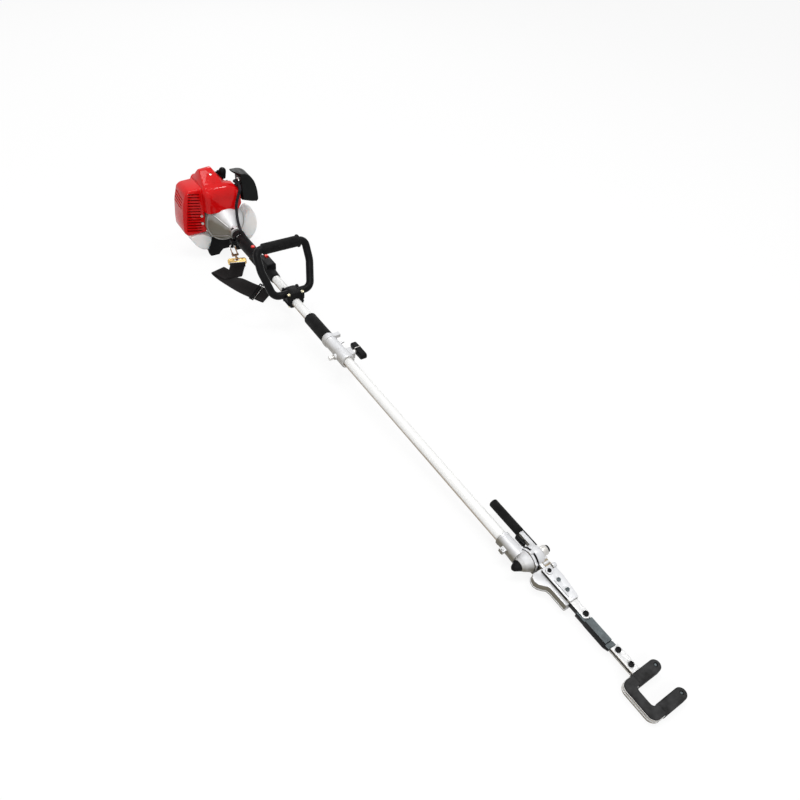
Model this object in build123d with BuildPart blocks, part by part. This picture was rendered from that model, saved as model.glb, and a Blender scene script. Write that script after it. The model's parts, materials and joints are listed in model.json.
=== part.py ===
# Petrol olive harvester: engine, split tube, handles, strap and reciprocating hook head.
# Drawn in millimetres along its tube: +X from the engine to the hook, +Y to the air filter side, +Z up,
# with X = 0 where the clutch housing ends. Each piece is then set down on the floor, on its stand and hook.
import math
import os
from build123d import *

os.makedirs("parts", exist_ok=True)

# Resting placement on the floor
FLOOR_SLOPE = 0.058014
STAND_X = -92.0
STAND_Z = -116.0
ORIGIN_X = -138.0
ORIGIN_Z = STAND_Z + FLOOR_SLOPE * (ORIGIN_X - STAND_X)
LEAN = math.degrees(math.atan(FLOOR_SLOPE))
REST = Location((0, 0, 0), (0, LEAN, 0)) * Location((-ORIGIN_X, 0, -ORIGIN_Z))

# Fits
GAP = 0.1
RUN = 0.05

# Tube and drive shaft
TUBE_R = 13.0
TUBE_BORE = 11.5
SHAFT_R = 4.0
SOCKET_R = 8.0
SPLIT_X = 640.0
LOWER_X = 646.0
LOWER_END = 1380.0

# Engine
CYLINDER_X = -160.0
CRANK_THROW = 14.0
ROD_LENGTH = 60.0
PISTON_R = 20.0
FAN_R = 66.0
JOURNAL_R = 8.0
DECK_Z = 48.0

# Clutch
DRUM_R = 39.0
CONE_FRONT = -26.0

# Starter
PULLEY_X = -222.0
ROPE_Z = 22.0

# Handles
GRIP_X0, GRIP_X1 = 34.0, 284.0
CLAMP_X = 393.0
CLAMP_HALF = 22.0
LOOP_R = 11.0
LOOP_BACK = 0.5
LOOP_Z = 19.0

# Tilting head
PIVOT_X = 1403.0
CASE_FACE = 18.0
HEAD_FACE = 19.4
HEAD_SHAFT_Y = 33.0
SWEEP_R = 30.5
CRANK_X, CRANK_Y = 1457.0, 18.0
HEAD_THROW = 9.0
LINK_LENGTH = 42.0
SLIDER_X = CRANK_X - HEAD_THROW + LINK_LENGTH
CASE_FRONT = 1520.0
CASE_TOP = 4.0
CASE_BOTTOM = -13.2
LINK_Z0, LINK_Z1 = -10.7, -8.6
CROWN_Z0, CROWN_Z1 = -7.9, -4.9
PINION_R = 4.5
CONE_R = 8.5
CONE_H = 4.0
MESH = -0.2
HEAD_Y = 24.0
PLATE_T = 3.0
TOP_PLATE = 4.5
LOW_PLATE = -3.5
BAR_BOLT_X = 1553.0
SHANK_BOLTS = (1636.0, 1668.0)

# Hook
HOOK_X0, HOOK_X1 = 1682.0, 1762.0
HOOK_SPINE_Y = -21.0
HOOK_TIP_Y = 71.0
PRONG = 21.0
PAD_T = 5.0

# Strap
WEB_W = 49.0
WEB_T = 2.0
EYE = (12.0, -25.0, -26.0)


# Revolve an outline of (x, radius) points about the tube axis
def turn(points, mode=Mode.ADD):
    with BuildSketch(Plane.XY) as outline:
        with BuildLine():
            Polyline(*points, close=True)
        make_face()
    revolve(outline.sketch, axis=Axis.X, mode=mode)


# Revolve an outline of (y, radius) points about a crosswise axis
def turn_across(points, x=PIVOT_X, z=0.0, mode=Mode.ADD):
    with BuildSketch(Plane(origin=(x, 0, z), x_dir=(1, 0, 0), z_dir=(0, 0, 1))) as outline:
        with BuildLine():
            Polyline(*[(r, y) for y, r in points], close=True)
        make_face()
    revolve(outline.sketch, axis=Axis((x, 0, z), (0, 1, 0)), mode=mode)


# Block between two corners
def block(x, y, z, mode=Mode.ADD):
    centre = ((x[0] + x[1]) / 2, (y[0] + y[1]) / 2, (z[0] + z[1]) / 2)
    with Locations(centre):
        Box(x[1] - x[0], y[1] - y[0], z[1] - z[0], mode=mode)


# Round bar between two points
def rod(start, end, radius, mode=Mode.ADD):
    along = Vector(*end) - Vector(*start)
    with BuildSketch(Plane(origin=start, z_dir=along)) as section:
        Circle(radius)
    extrude(section.sketch, amount=along.length, mode=mode)


# Outline of (y, z) points drawn along the tube, corners rounded
def prism(points, x0, x1, corner=0.0, mode=Mode.ADD):
    with BuildSketch(Plane.YZ.offset(x0)) as section:
        with BuildLine():
            if corner > 0:
                FilletPolyline(*points, radius=corner, close=True)
            else:
                Polyline(*points, close=True)
        make_face()
    extrude(section.sketch, amount=x1 - x0, mode=mode)


# Outline of (x, y) points drawn upwards, corners rounded, widened all round by swell
def slab(points, z0, z1, corner=0.0, swell=0.0, mode=Mode.ADD):
    with BuildSketch(Plane.XY.offset(z0)) as section:
        with BuildLine():
            if corner > 0:
                FilletPolyline(*points, radius=corner, close=True)
            else:
                Polyline(*points, close=True)
        make_face()
        if swell > 0:
            offset(amount=swell)
    extrude(section.sketch, amount=z1 - z0, mode=mode)


# Screw with a socketed round head: seat is under the head, way points out of the work
def screw(seat, way, head_r, head_h, shank_r, length):
    out = Vector(*way).normalized()
    top = Vector(*seat) + out * head_h
    rod(seat, top, head_r)
    rod(seat, (Vector(*seat) - out * length), shank_r)
    rod((top - out * head_h * 0.5), (top + out), head_r * 0.5, Mode.SUBTRACT)


# Cone gear about the local Z axis: teeth are left between grooves cut down the slope
def cone_gear(plane, back_r, front_r, height, teeth, turned=0.0):
    groove = 0.55 * math.pi * (back_r + front_r) / teeth
    slope = math.degrees(math.atan2(back_r - front_r, height))
    with BuildSketch(plane) as back:
        Circle(back_r)
    with BuildSketch(plane.offset(height)) as front:
        Circle(front_r)
    loft([back.sketch.face(), front.sketch.face()])
    with Locations(plane.offset(height / 2)):
        with PolarLocations((back_r + front_r) / 2, teeth, start_angle=turned):
            Box(3.2, groove, 3 * height, rotation=(0, -slope, 0), mode=Mode.SUBTRACT)


def floor_z(x):
    return STAND_Z + FLOOR_SLOPE * (x - STAND_X)


# Set a finished piece down on the floor and write it out
def save(piece, name):
    placed = piece.part.moved(REST)
    placed.label = name
    export_step(placed, f"parts/{name}.step")


# Crankcase with the fan ring, the open crank chamber and the starter flange
with BuildPart() as crankcase:
    turn([(-200, 0), (-200, 58), (-195, 58), (-195, 42), (-126, 42), (-126, FAN_R),
          (-96, FAN_R), (-96, 57), (-120, 57), (-120, 0)])
    block((-192, -128), (-32, 32), (0, DECK_Z))
    turn([(-178, 0), (-178, 31), (-136, 31), (-136, 0)], Mode.SUBTRACT)
    turn([(-201, 0), (-201, JOURNAL_R + RUN), (-119, JOURNAL_R + RUN), (-119, 0)], Mode.SUBTRACT)
    block((-171, -149), (-17, 17), (0, DECK_Z + 1), Mode.SUBTRACT)
    rod((CYLINDER_X, 0, 20), (CYLINDER_X, 0, DECK_Z + 1), PISTON_R + 0.5, Mode.SUBTRACT)
save(crankcase, "crankcase")

# Finned cylinder standing on the deck
PIN_Z = CRANK_THROW + ROD_LENGTH
FIN_PITCH = 7.5
with BuildPart() as cylinder:
    block((-190, -130), (-30, 30), (DECK_Z, 54))
    rod((CYLINDER_X, 0, 54), (CYLINDER_X, 0, 108), 26)
    for level in range(7):
        with Locations((CYLINDER_X, 0, 59 + FIN_PITCH * level)):
            Box(60, 72, 2.2)
    rod((CYLINDER_X, 0, 108), (CYLINDER_X, 0, 112), 22)
    block((-175, -145), (-46, -24), (66, 86))
    block((-172, -148), (24, 44), (66, 88))
    rod((-150, 17, 98), (-150, 21, 114), 9)
    rod((-150, 18.75, 105), (-150, 21.25, 115), 5 + GAP, Mode.SUBTRACT)
    rod((CYLINDER_X, 0, DECK_Z - 1), (CYLINDER_X, 0, 100), PISTON_R + RUN, Mode.SUBTRACT)
    rod((CYLINDER_X, -47, 76), (CYLINDER_X, -15, 76), 7, Mode.SUBTRACT)
    rod((CYLINDER_X, 45, 77), (CYLINDER_X, 15, 77), 7, Mode.SUBTRACT)
save(cylinder, "cylinder")

# Piston with its gudgeon pin and one ring
RING_Z = PIN_Z + 15
with BuildPart() as piston:
    rod((CYLINDER_X, 0, PIN_Z - 12), (CYLINDER_X, 0, PIN_Z + 20), PISTON_R)
    block((-168, -152), (-14, 14), (PIN_Z - 13, PIN_Z + 14), Mode.SUBTRACT)
    rod((-176, 0, PIN_Z), (-144, 0, PIN_Z), 5)
    rod((CYLINDER_X, 0, RING_Z), (CYLINDER_X, 0, RING_Z + 4), PISTON_R + 1, Mode.SUBTRACT)
    rod((CYLINDER_X, 0, RING_Z - 1), (CYLINDER_X, 0, RING_Z + 5), PISTON_R - 1)
    rod((CYLINDER_X, 0, RING_Z + 1.5), (CYLINDER_X, 0, RING_Z + 3), PISTON_R)
save(piston, "piston")

# Connecting rod
with BuildPart() as connecting_rod:
    rod((-164, 0, PIN_Z), (-156, 0, PIN_Z), 9)
    rod((-164, 0, CRANK_THROW), (-156, 0, CRANK_THROW), 10)
    block((-163, -157), (-5, 5), (CRANK_THROW, PIN_Z))
    rod((-165, 0, PIN_Z), (-155, 0, PIN_Z), 5 + RUN, Mode.SUBTRACT)
    rod((-165, 0, CRANK_THROW), (-155, 0, CRANK_THROW), 6, Mode.SUBTRACT)
save(connecting_rod, "connecting_rod")

# Crankshaft: two webs, the crank pin left open in the middle for the rod
with BuildPart() as crankshaft:
    rod((-208, 0, 0), (-176, 0, 0), JOURNAL_R)
    rod((-176, 0, 0), (-168, 0, 0), 27)
    rod((-168, 0, CRANK_THROW), (-164.5, 0, CRANK_THROW), 6)
    rod((-155.5, 0, CRANK_THROW), (-152, 0, CRANK_THROW), 6)
    rod((-152, 0, 0), (-144, 0, 0), 27)
    rod((-144, 0, 0), (-98, 0, 0), JOURNAL_R)
save(crankshaft, "crankshaft")

# Flywheel with its cooling fan and the two clutch shoes on their pins
with BuildPart() as flywheel:
    rod((-116, 0, 0), (-109, 0, 0), 52)
    rod((-119, 0, 0), (-99, 0, 0), 16)
    with Locations((-104, 0, 0)):
        for blade in range(12):
            with Locations(Location((0, 0, 0), (360 * blade / 12, 0, 0))):
                with Locations((0, 0, 42)):
                    Box(10, 2.5, 18)
    rod((-119.5, 0, 0), (-98, 0, 0), JOURNAL_R + GAP, Mode.SUBTRACT)
    for side in (-1, 1):
        rod((-110, 0, side * 26), (-72, 0, side * 26), 4)
    with BuildSketch(Plane.YZ.offset(-92)) as shoes:
        Circle(35)
        Circle(17, mode=Mode.SUBTRACT)
        Rectangle(72, 6, mode=Mode.SUBTRACT)
        with GridLocations(0, 52, 1, 2):
            Circle(4 + GAP, mode=Mode.SUBTRACT)
    extrude(amount=17)
save(flywheel, "flywheel")

# Clutch housing: bolted base, ribbed cone and tube neck
with BuildPart() as clutch_housing:
    turn([(-96, 0), (-96, FAN_R), (-88, FAN_R), (-88, 60), (CONE_FRONT, 22), (-22, 19.5), (0, 19.5), (0, 0)])
    for rib in (-131, -49, 49, 131):
        with BuildSketch(Plane.XZ) as web:
            with BuildLine():
                Polyline((-88, 40), (-88, 64), (-24, 24.5), (-24, 15), close=True)
            make_face()
        added = extrude(web.sketch, amount=2, both=True, mode=Mode.PRIVATE)
        add(added.rotate(Axis.X, rib))
    turn([(-97, 0), (-97, 43), (-80, 42), (-63, 42), (-63, 0)], Mode.SUBTRACT)
    turn([(-64, 0), (-64, JOURNAL_R + RUN), (-41, JOURNAL_R + RUN), (-41, 0)], Mode.SUBTRACT)
    turn([(-42, 0), (-42, TUBE_R + GAP), (1, TUBE_R + GAP), (1, 0)], Mode.SUBTRACT)
    block((-17, -8), (-4, 4), (16, 21), Mode.SUBTRACT)
save(clutch_housing, "clutch_housing")

# Upper drive shaft with the clutch drum, its journal and the square socket
with BuildPart() as upper_drive_shaft:
    turn([(-91, DRUM_R - 3), (-91, DRUM_R), (-66, DRUM_R), (-66, JOURNAL_R), (-44, JOURNAL_R), (-44, SHAFT_R),
          (612, SHAFT_R), (612, SOCKET_R), (648, SOCKET_R), (648, 0), (-69, 0), (-69, DRUM_R - 3)])
    block((616, 649), (-4.3, 4.3), (-4.3, 4.3), Mode.SUBTRACT)
save(upper_drive_shaft, "upper_drive_shaft")

# Red cylinder shroud with the sloped hump over the cylinder
SHROUD_FRONT = -72.0
SHROUD_BACK = -194.0
WALL = 3.0
SHROUD = [(-66, 49), (-66, 112), (-52, 128), (14, 128), (40, 121), (56, 103), (58, 62), (48, 49)]
SHROUD_IN = [(-63, 40), (-63, 110.5), (-50.5, 125), (13.5, 125), (38.5, 118.5), (53, 102), (55, 62), (48, 40)]
HUMP_FOOT, HUMP_TOP = 120.0, 163.0


# Four-sided hump between a foot and a flat top, each given as (x0, x1, y0, y1)
def hump(foot, foot_z, top, top_z, mode=Mode.ADD):
    with BuildSketch(Plane.XY.offset(foot_z)) as low:
        with Locations(((foot[0] + foot[1]) / 2, (foot[2] + foot[3]) / 2)):
            Rectangle(foot[1] - foot[0], foot[3] - foot[2])
    with BuildSketch(Plane.XY.offset(top_z)) as high:
        with Locations(((top[0] + top[1]) / 2, (top[2] + top[3]) / 2)):
            Rectangle(top[1] - top[0], top[3] - top[2])
    loft([low.sketch.face(), high.sketch.face()], mode=mode)


with BuildPart() as cylinder_shroud:
    prism(SHROUD, SHROUD_BACK, SHROUD_FRONT, corner=6)
    fillet(cylinder_shroud.edges().filter_by(Axis.X, reverse=True).group_by(Axis.X)[-1], radius=5)
    hump((-192, -86, -62, 18), HUMP_FOOT, (-158, -144, -52, -16), HUMP_TOP)
    prism(SHROUD_IN, SHROUD_BACK + WALL, SHROUD_FRONT - WALL, corner=4, mode=Mode.SUBTRACT)
    hump((-189, -92, -58, 13), HUMP_FOOT - 2, (-157, -147, -49, -19), HUMP_TOP - WALL, Mode.SUBTRACT)
    turn([(-196, 0), (-196, FAN_R + 1.5), (-86, FAN_R + 1.5), (-86, 61.5), (-70, 51.5), (-70, 0)],
         Mode.SUBTRACT)
    block((-196, -118), (16, 70), (40, 140), Mode.SUBTRACT)
    rod((-150, 17, 98), (-150, 33.5, 164), 15, Mode.SUBTRACT)
    rod((CYLINDER_X, -70, 76), (CYLINDER_X, -50, 76), 19, Mode.SUBTRACT)
save(cylinder_shroud, "cylinder_shroud")

# Red muffler guard with louvres on the front and slots on the outside
GUARD = [(-67.5, -29), (-67.5, 121), (-104, 117), (-114.5, 110), (-131.5, -21), (-122, -31.5)]
GUARD_IN = [(-60, -26), (-60, 118), (-103, 113.5), (-111.7, 107.5), (-128.3, -20), (-120.5, -28.5)]
GUARD_BACK, GUARD_FRONT = -184.0, -100.0
LOUVRES = 14
LOUVRE_PITCH = 9.5
LOUVRE_TOP = 107.0
GUARD_SCREWS = ((-73.5, 31), (-73.5, 5))
with BuildPart() as muffler_cover:
    prism(GUARD, GUARD_BACK, GUARD_FRONT, corner=4)
    fillet(muffler_cover.edges().filter_by(Axis.X, reverse=True).group_by(Axis.X)[-1], radius=3.5)
    prism(GUARD_IN, GUARD_BACK + WALL, GUARD_FRONT - WALL, mode=Mode.SUBTRACT)
    for slot in range(LOUVRES):
        level = LOUVRE_TOP - LOUVRE_PITCH * slot
        left = -106.5 - 1.3 * slot
        right = -79.5
        with Locations(Location((GUARD_FRONT - 1, (left + right) / 2, level), (-11, 0, 0))):
            Box(10, right - left, 4.4, mode=Mode.SUBTRACT)
    for slot in range(4):
        with Locations(Location((-146, -125, 92 - 10 * slot), (0, 8, 0))):
            Box(60, 40, 4.6, mode=Mode.SUBTRACT)
    for spot in GUARD_SCREWS:
        rod((GUARD_FRONT - 5, *spot), (GUARD_FRONT + 1, *spot), 2 + GAP, Mode.SUBTRACT)
save(muffler_cover, "muffler_cover")

# Muffler box with its inlet pipe
with BuildPart() as muffler:
    block((-178, -106), (-108, -70), (22, 94))
    fillet(muffler.edges().filter_by(Axis.Y), radius=8)
    rod((-160, -72, 76), (-160, -46, 76), 12)
    rod((-160, -75, 76), (-160, -45, 76), 8, Mode.SUBTRACT)
    rod((-112, -88, 34), (-104.5, -88, 34), 6)
save(muffler, "muffler")

# Spark plug in the head and its rubber cap
PLUG = Plane(origin=(-150, 21, 114), z_dir=(0, 0.2425, 0.9701))
with BuildPart() as spark_plug:
    with BuildSketch(PLUG.offset(-9)):
        Circle(5)
    extrude(amount=9)
    with BuildSketch(PLUG):
        RegularPolygon(8, 6)
    extrude(amount=6)
    with BuildSketch(PLUG.offset(6)):
        Circle(4)
    extrude(amount=10)
save(spark_plug, "spark_plug")

with BuildPart() as plug_cap:
    with BuildSketch(PLUG.offset(6)):
        Circle(13)
    extrude(amount=32, taper=5)
    fillet(plug_cap.edges().group_by(Axis.Z)[-1], radius=5)
    with BuildSketch(PLUG.offset(6)):
        Circle(4 + GAP)
    extrude(amount=10 + GAP, mode=Mode.SUBTRACT)
    block((-172, -155), (22, 32), (136, 146))
save(plug_cap, "plug_cap")

# Outline of the air filter cover, outside and inside
AIR = [(61, 67), (100, 54), (118, 54), (116, 90), (108, 122), (92, 146), (72, 155), (44, 155), (44, 151.5),
       (61, 146)]
AIR_IN = [(64, 69.5), (100.5, 57), (115, 57), (113, 89), (105, 120.5), (90, 143), (71, 151.8), (64, 148)]
AIR_BACK, AIR_FRONT = -130.0, -80.0

# Carburettor on the intake flange with its elbow and filter base, and the choke lever
CHOKE_Z = 66.0
with BuildPart() as carburettor:
    block((-178, -146), (44, 60), (56, 90))
    fillet(carburettor.edges().filter_by(Axis.Y), radius=4)
    rod((-162, 52, 57), (-162, 52, 48), 7)
    rod((-160, 59, 77), (-160, 77, 77), 9)
    block((-171, -149), (76, 94), (66, 88))
    rod((-150, 85, 77), (AIR_BACK - 3, 85, 77), 8)
    prism(AIR_IN, AIR_BACK - 4, AIR_BACK)
    rod((-160, 43, 77), (-160, 61, 77), 7, Mode.SUBTRACT)
    rod((-179, 52, CHOKE_Z), (-169, 52, CHOKE_Z), 3 + RUN, Mode.SUBTRACT)
save(carburettor, "carburettor")

with BuildPart() as choke_lever:
    rod((-181, 52, CHOKE_Z), (-169.5, 52, CHOKE_Z), 3)
    rod((-184, 52, CHOKE_Z), (-181, 52, CHOKE_Z), 6)
    block((-184, -181), (49, 55), (CHOKE_Z, CHOKE_Z + 26))
save(choke_lever, "choke_lever")

# Black air filter cover with its lip open towards the engine
with BuildPart() as air_filter_cover:
    prism(AIR, AIR_BACK, AIR_FRONT, corner=1.5)
    fillet(air_filter_cover.edges().filter_by(Axis.X, reverse=True).group_by(Axis.X)[-1], radius=1.2)
    prism(AIR_IN, AIR_BACK - 1, AIR_FRONT - WALL, corner=1.2, mode=Mode.SUBTRACT)
    slab([(-126, 40), (-78, 40), (-78, 62)], 147, 160, mode=Mode.SUBTRACT)
save(air_filter_cover, "air_filter_cover")

# Fuel tank saddled round the fan ring, with the filler neck at the back
TANK = [(-70, -38), (-112, -36), (-116, -42), (-110, -58), (-99, -77), (-84, -91), (-56, -97), (76, -97),
        (92, -89), (110, -66), (117, -36), (107, 6), (98, 14), (84, 10), (74, -10), (62, -44), (42, -62),
        (0, -74), (-42, -62)]
TANK_BACK, TANK_FRONT = -156.0, -101.0
CAP_Y, CAP_Z = 92.0, -34.0
with BuildPart() as fuel_tank:
    prism(TANK, TANK_BACK, TANK_FRONT, corner=4)
    fillet(fuel_tank.edges().filter_by(Axis.X, reverse=True).group_by(Axis.X)[-1], radius=4)
    fillet(fuel_tank.edges().filter_by(Axis.X, reverse=True).group_by(Axis.X)[0], radius=4)
    rod((TANK_BACK + 2, CAP_Y, CAP_Z), (TANK_BACK - 10, CAP_Y, CAP_Z), 13)
save(fuel_tank, "fuel_tank")

with BuildPart() as fuel_cap:
    rod((TANK_BACK - 2, CAP_Y, CAP_Z), (TANK_BACK - 18, CAP_Y, CAP_Z), 18)
    for notch in range(12):
        angle = math.radians(30 * notch)
        spot = (CAP_Y + 19 * math.cos(angle), CAP_Z + 19 * math.sin(angle))
        rod((TANK_BACK - 2, *spot), (TANK_BACK - 19, *spot), 2.5, Mode.SUBTRACT)
    rod((TANK_BACK - 1, CAP_Y, CAP_Z), (TANK_BACK - 11, CAP_Y, CAP_Z), 13 + RUN, Mode.SUBTRACT)
save(fuel_cap, "fuel_cap")

# Black stand: arched front plate, two rails and a cross bar under the tank, cut level with the floor
STAND = [(-49, -52), (-52, -66), (-67, -98), (-64, -110), (-56, -122), (-36, -122), (-26, -108), (-16, -99),
         (16, -99), (26, -108), (36, -122), (56, -122), (64, -110), (67, -98), (52, -66), (49, -52)]
with BuildPart() as tank_stand:
    prism(STAND, -100, -90)
    block((-158, -98), (-56, 56), (-102, -97))
    for side in (-43, 43):
        block((-158, -98), (side - 13, side + 13), (-126, -101))
    block((ORIGIN_X - 10, ORIGIN_X + 10), (-43, 43), (-126, -101))
    turn([(-101, 0), (-101, FAN_R + GAP), (-89, FAN_R + GAP), (-89, 0)], Mode.SUBTRACT)
    with BuildSketch(Plane.XZ.offset(-80)) as below:
        with BuildLine():
            Polyline((-260, floor_z(-260)), (0, floor_z(0)), (0, -160), (-260, -160), close=True)
        make_face()
    extrude(below.sketch, amount=160, mode=Mode.SUBTRACT)
save(tank_stand, "tank_stand")

# Recoil starter: cup, pulley, rope and pull grip
with BuildPart() as starter_housing:
    turn([(-200, 57), (-200, 54), (-240, 54), (-240, 7), (-214, 7), (-214, 0), (-244, 0), (-244, 50),
          (-238, 57)])
    rod((PULLEY_X, 45, ROPE_Z), (PULLEY_X, 62, ROPE_Z), 7)
    rod((PULLEY_X, 40, ROPE_Z), (PULLEY_X, 63, ROPE_Z), 3, Mode.SUBTRACT)
    for slot in range(8):
        with Locations(Location((-242, 0, 0), (45 * slot + 22, 0, 0))):
            with Locations((0, 0, 34)):
                Box(10, 6, 22, mode=Mode.SUBTRACT)
save(starter_housing, "starter_housing")

with BuildPart() as starter_pulley:
    turn([(-232, 7 + RUN), (-232, 27), (-228, 27), (-226, 20), (-218, 20), (-216, 27), (-213, 27),
          (-213, 7 + RUN)])
save(starter_pulley, "starter_pulley")

with BuildPart() as starter_grip:
    rod((PULLEY_X, 10, ROPE_Z), (PULLEY_X, 70, ROPE_Z), 1.6)
    block((PULLEY_X - 23, PULLEY_X + 23), (62.6, 78), (ROPE_Z - 9, ROPE_Z + 9))
    fillet(starter_grip.edges().filter_by(Axis.X), radius=3)
save(starter_grip, "starter_grip")

# Loom with the throttle cable and the stop wires
LOOM_R = 4.5
LOOM = [(-114, 60.9, 121), (-114, 48.5, 121), (-98, 51.5, 122.5), (-80, 54, 122), (-66, 49, 113),
        (-64.5, 42.5, 98), (-63.5, 36, 81), (-61, 30, 64), (-57, 28, 50), (-46, 24, 36), (-25, 17.5, 25),
        (0, 11.5, 23), (20, 6, 23.5), (32, 4.6, 23.5)]


# Largest bend at each corner of a route that its two runs leave room for
def bend_radii(points):
    spots = [Vector(*point) for point in points]
    radii = []
    for before, corner, after in zip(spots, spots[1:], spots[2:]):
        arrive = corner - before
        leave = after - corner
        half_turn = math.radians(arrive.get_angle(leave) / 2)
        radii.append(0.45 * min(arrive.length, leave.length) / math.tan(half_turn))
    return radii


LOOM_BENDS = bend_radii(LOOM)
print("loom bends, mm:", [round(radius, 1) for radius in LOOM_BENDS])
with BuildPart() as throttle_cable:
    with BuildLine() as way:
        FilletPolyline(*LOOM, radius=LOOM_BENDS)
    with BuildSketch(Plane(origin=way.line @ 0, z_dir=way.line % 0)):
        Circle(LOOM_R)
    sweep()
save(throttle_cable, "throttle_cable")

# Two halves of the tube
with BuildPart() as upper_tube:
    turn([(-38, TUBE_BORE), (-38, TUBE_R), (SPLIT_X, TUBE_R), (SPLIT_X, TUBE_BORE)])
save(upper_tube, "upper_tube")

with BuildPart() as lower_tube:
    turn([(LOWER_X, TUBE_BORE), (LOWER_X, TUBE_R), (LOWER_END, TUBE_R), (LOWER_END, TUBE_BORE)])
save(lower_tube, "lower_tube")

# Throttle grip moulding on the tube
with BuildPart() as throttle_grip:
    turn([(GRIP_X0, 0), (GRIP_X0, 18), (42, 20), (110, 20), (150, 18), (250, 18), (276, 16), (GRIP_X1, 14.5),
          (GRIP_X1, 0)])
    rod((GRIP_X0, 4.5, 23), (70, 3, 15), 6.5)
    block((186, 246), (-11, 19), (6, 29))
    fillet(throttle_grip.edges().group_by(Axis.Z)[-1], radius=4)
    block((108, 246), (-9, 9), (-30, -8))
    fillet(throttle_grip.edges().group_by(Axis.Z)[0], radius=4)
    block((146, 240), (-4.5, 4.5), (-31, -17), Mode.SUBTRACT)
    turn([(GRIP_X0 - 1, 0), (GRIP_X0 - 1, TUBE_R + GAP), (GRIP_X1 + 1, TUBE_R + GAP), (GRIP_X1 + 1, 0)],
         Mode.SUBTRACT)
    block((192, 208), (5, 16), (23, 31), Mode.SUBTRACT)
    rod((120, 2, 15), (120, 2, 22), 6 + RUN, Mode.SUBTRACT)
    rod((234, -10, -24), (234, 10, -24), 2.5 + RUN, Mode.SUBTRACT)
    rod((56, -14, 8), (56, -24.5, 14), 4.2, Mode.SUBTRACT)
save(throttle_grip, "throttle_grip")

# Throttle trigger, its lock button and the stop switch
with BuildPart() as throttle_trigger:
    with BuildSketch(Plane.XZ.offset(-4)) as blade:
        with BuildLine():
            Polyline((239, -19), (239, -29), (206, -38), (160, -45), (151, -42), (151, -36), (186, -27),
                     (214, -22), close=True)
        make_face()
    extrude(blade.sketch, amount=8)
    rod((234, -9, -24), (234, 9, -24), 2.5)
save(throttle_trigger, "throttle_trigger")

with BuildPart() as throttle_lock:
    rod((120, 2, 16.6), (120, 2, 23), 6)
    fillet(throttle_lock.edges().group_by(Axis.Z)[-1], radius=1.5)
save(throttle_lock, "throttle_lock")

with BuildPart() as stop_switch:
    block((192.4, 202.4), (5.4, 15.6), (23.3, 32.5))
    fillet(stop_switch.edges().group_by(Axis.Z)[-1], radius=1.2)
save(stop_switch, "stop_switch")

# Hanger clamp with the strap eye
with BuildPart() as hanger_clamp:
    turn([(6, TUBE_R + GAP), (6, 18), (26, 18), (26, TUBE_R + GAP)])
    block((7, 25), (-27.5, -11), (-16, -8))
    block((4, 20), (-27.5, -22.5), (-27, -8))
    rod((EYE[0], -27.5, EYE[2]), (EYE[0], -22.5, EYE[2]), 10)
    rod((EYE[0], -29, EYE[2]), (EYE[0], -21, EYE[2]), 6, Mode.SUBTRACT)
    turn([(5, 0), (5, TUBE_R + GAP), (27, TUBE_R + GAP), (27, 0)], Mode.SUBTRACT)
save(hanger_clamp, "hanger_clamp")

# Snap hook hanging from the eye, its sprung gate, and the brass buckle below
DOWN = Vector(0.753, 0, -0.658)
HOOK_PLANE = Plane(origin=EYE, x_dir=(0, 1, 0), z_dir=(0.658, 0, 0.753))
WIRE_R = 2.0
HINGE = HOOK_PLANE.from_local_coords(Vector(-8, -28.4, 0))
HINGE_WAY = HOOK_PLANE.z_dir
HINGE_R = 1.2
BAR_W = Vector(0.28, 0.96, 0).normalized()
BUCKLE_TOP = Vector(*EYE) + DOWN * 47
BUCKLE_DOWN = Vector(0.607, -0.177, -0.775).normalized()
BUCKLE_OUT = BAR_W.cross(BUCKLE_DOWN) * -1
BUCKLE_R = 2.4
BUCKLE_HALF = 27.2
BUCKLE_DROP = 17.0
with BuildPart() as snap_hook:
    with BuildLine(HOOK_PLANE) as bend:
        Line((8, -32), (8, -8))
        CenterArc((0, -8), 8, 0, 180)
        Line((-8, -8), (-8, -11))
    with BuildSketch(Plane(origin=bend.line @ 0, z_dir=bend.line % 0)):
        Circle(WIRE_R)
    sweep(transition=Transition.ROUND)
    with Locations(HOOK_PLANE):
        with Locations((0, -34, 0)):
            Box(21, 6, 6)
        with Locations((-8, -31, 3.8), (-8, -31, -3.8)):
            Box(5, 10, 1.6)
    rod(HINGE - HINGE_WAY * 6, HINGE + HINGE_WAY * 6, HINGE_R + RUN, Mode.SUBTRACT)
    rod((Vector(*EYE) + DOWN * 36), (Vector(*EYE) + DOWN * 43), 3)
    rod((BUCKLE_TOP - BAR_W * 4), (BUCKLE_TOP + BAR_W * 4), 5.6)
    rod((BUCKLE_TOP - BAR_W * 6), (BUCKLE_TOP + BAR_W * 6), BUCKLE_R + 0.3, Mode.SUBTRACT)
save(snap_hook, "snap_hook")

with BuildPart() as snap_gate:
    gate_tip = HOOK_PLANE.from_local_coords(Vector(-8, -11.6, 0))
    rod(HINGE, gate_tip, WIRE_R - 0.3)
    rod(HINGE - HINGE_WAY * 2.8, HINGE + HINGE_WAY * 2.8, 2.2)
    rod(HINGE - HINGE_WAY * 4.4, HINGE + HINGE_WAY * 4.4, HINGE_R)
save(snap_gate, "snap_gate")

# Webbing on the floor, out past the fold: its lower edge at x and y, its turn in plan and its lean, in degrees
FLOOR_RUN = [(58, -101, 16.4, 0), (98, -91.5, 16.4, 2), (124, -85, 15.7, 18), (150, -78, 16.3, 26),
             (185, -66, 19.3, 28), (215, -51, 21.7, 28), (255, -33, 21.7, 22)]
SLIDE_STEP = 5


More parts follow.
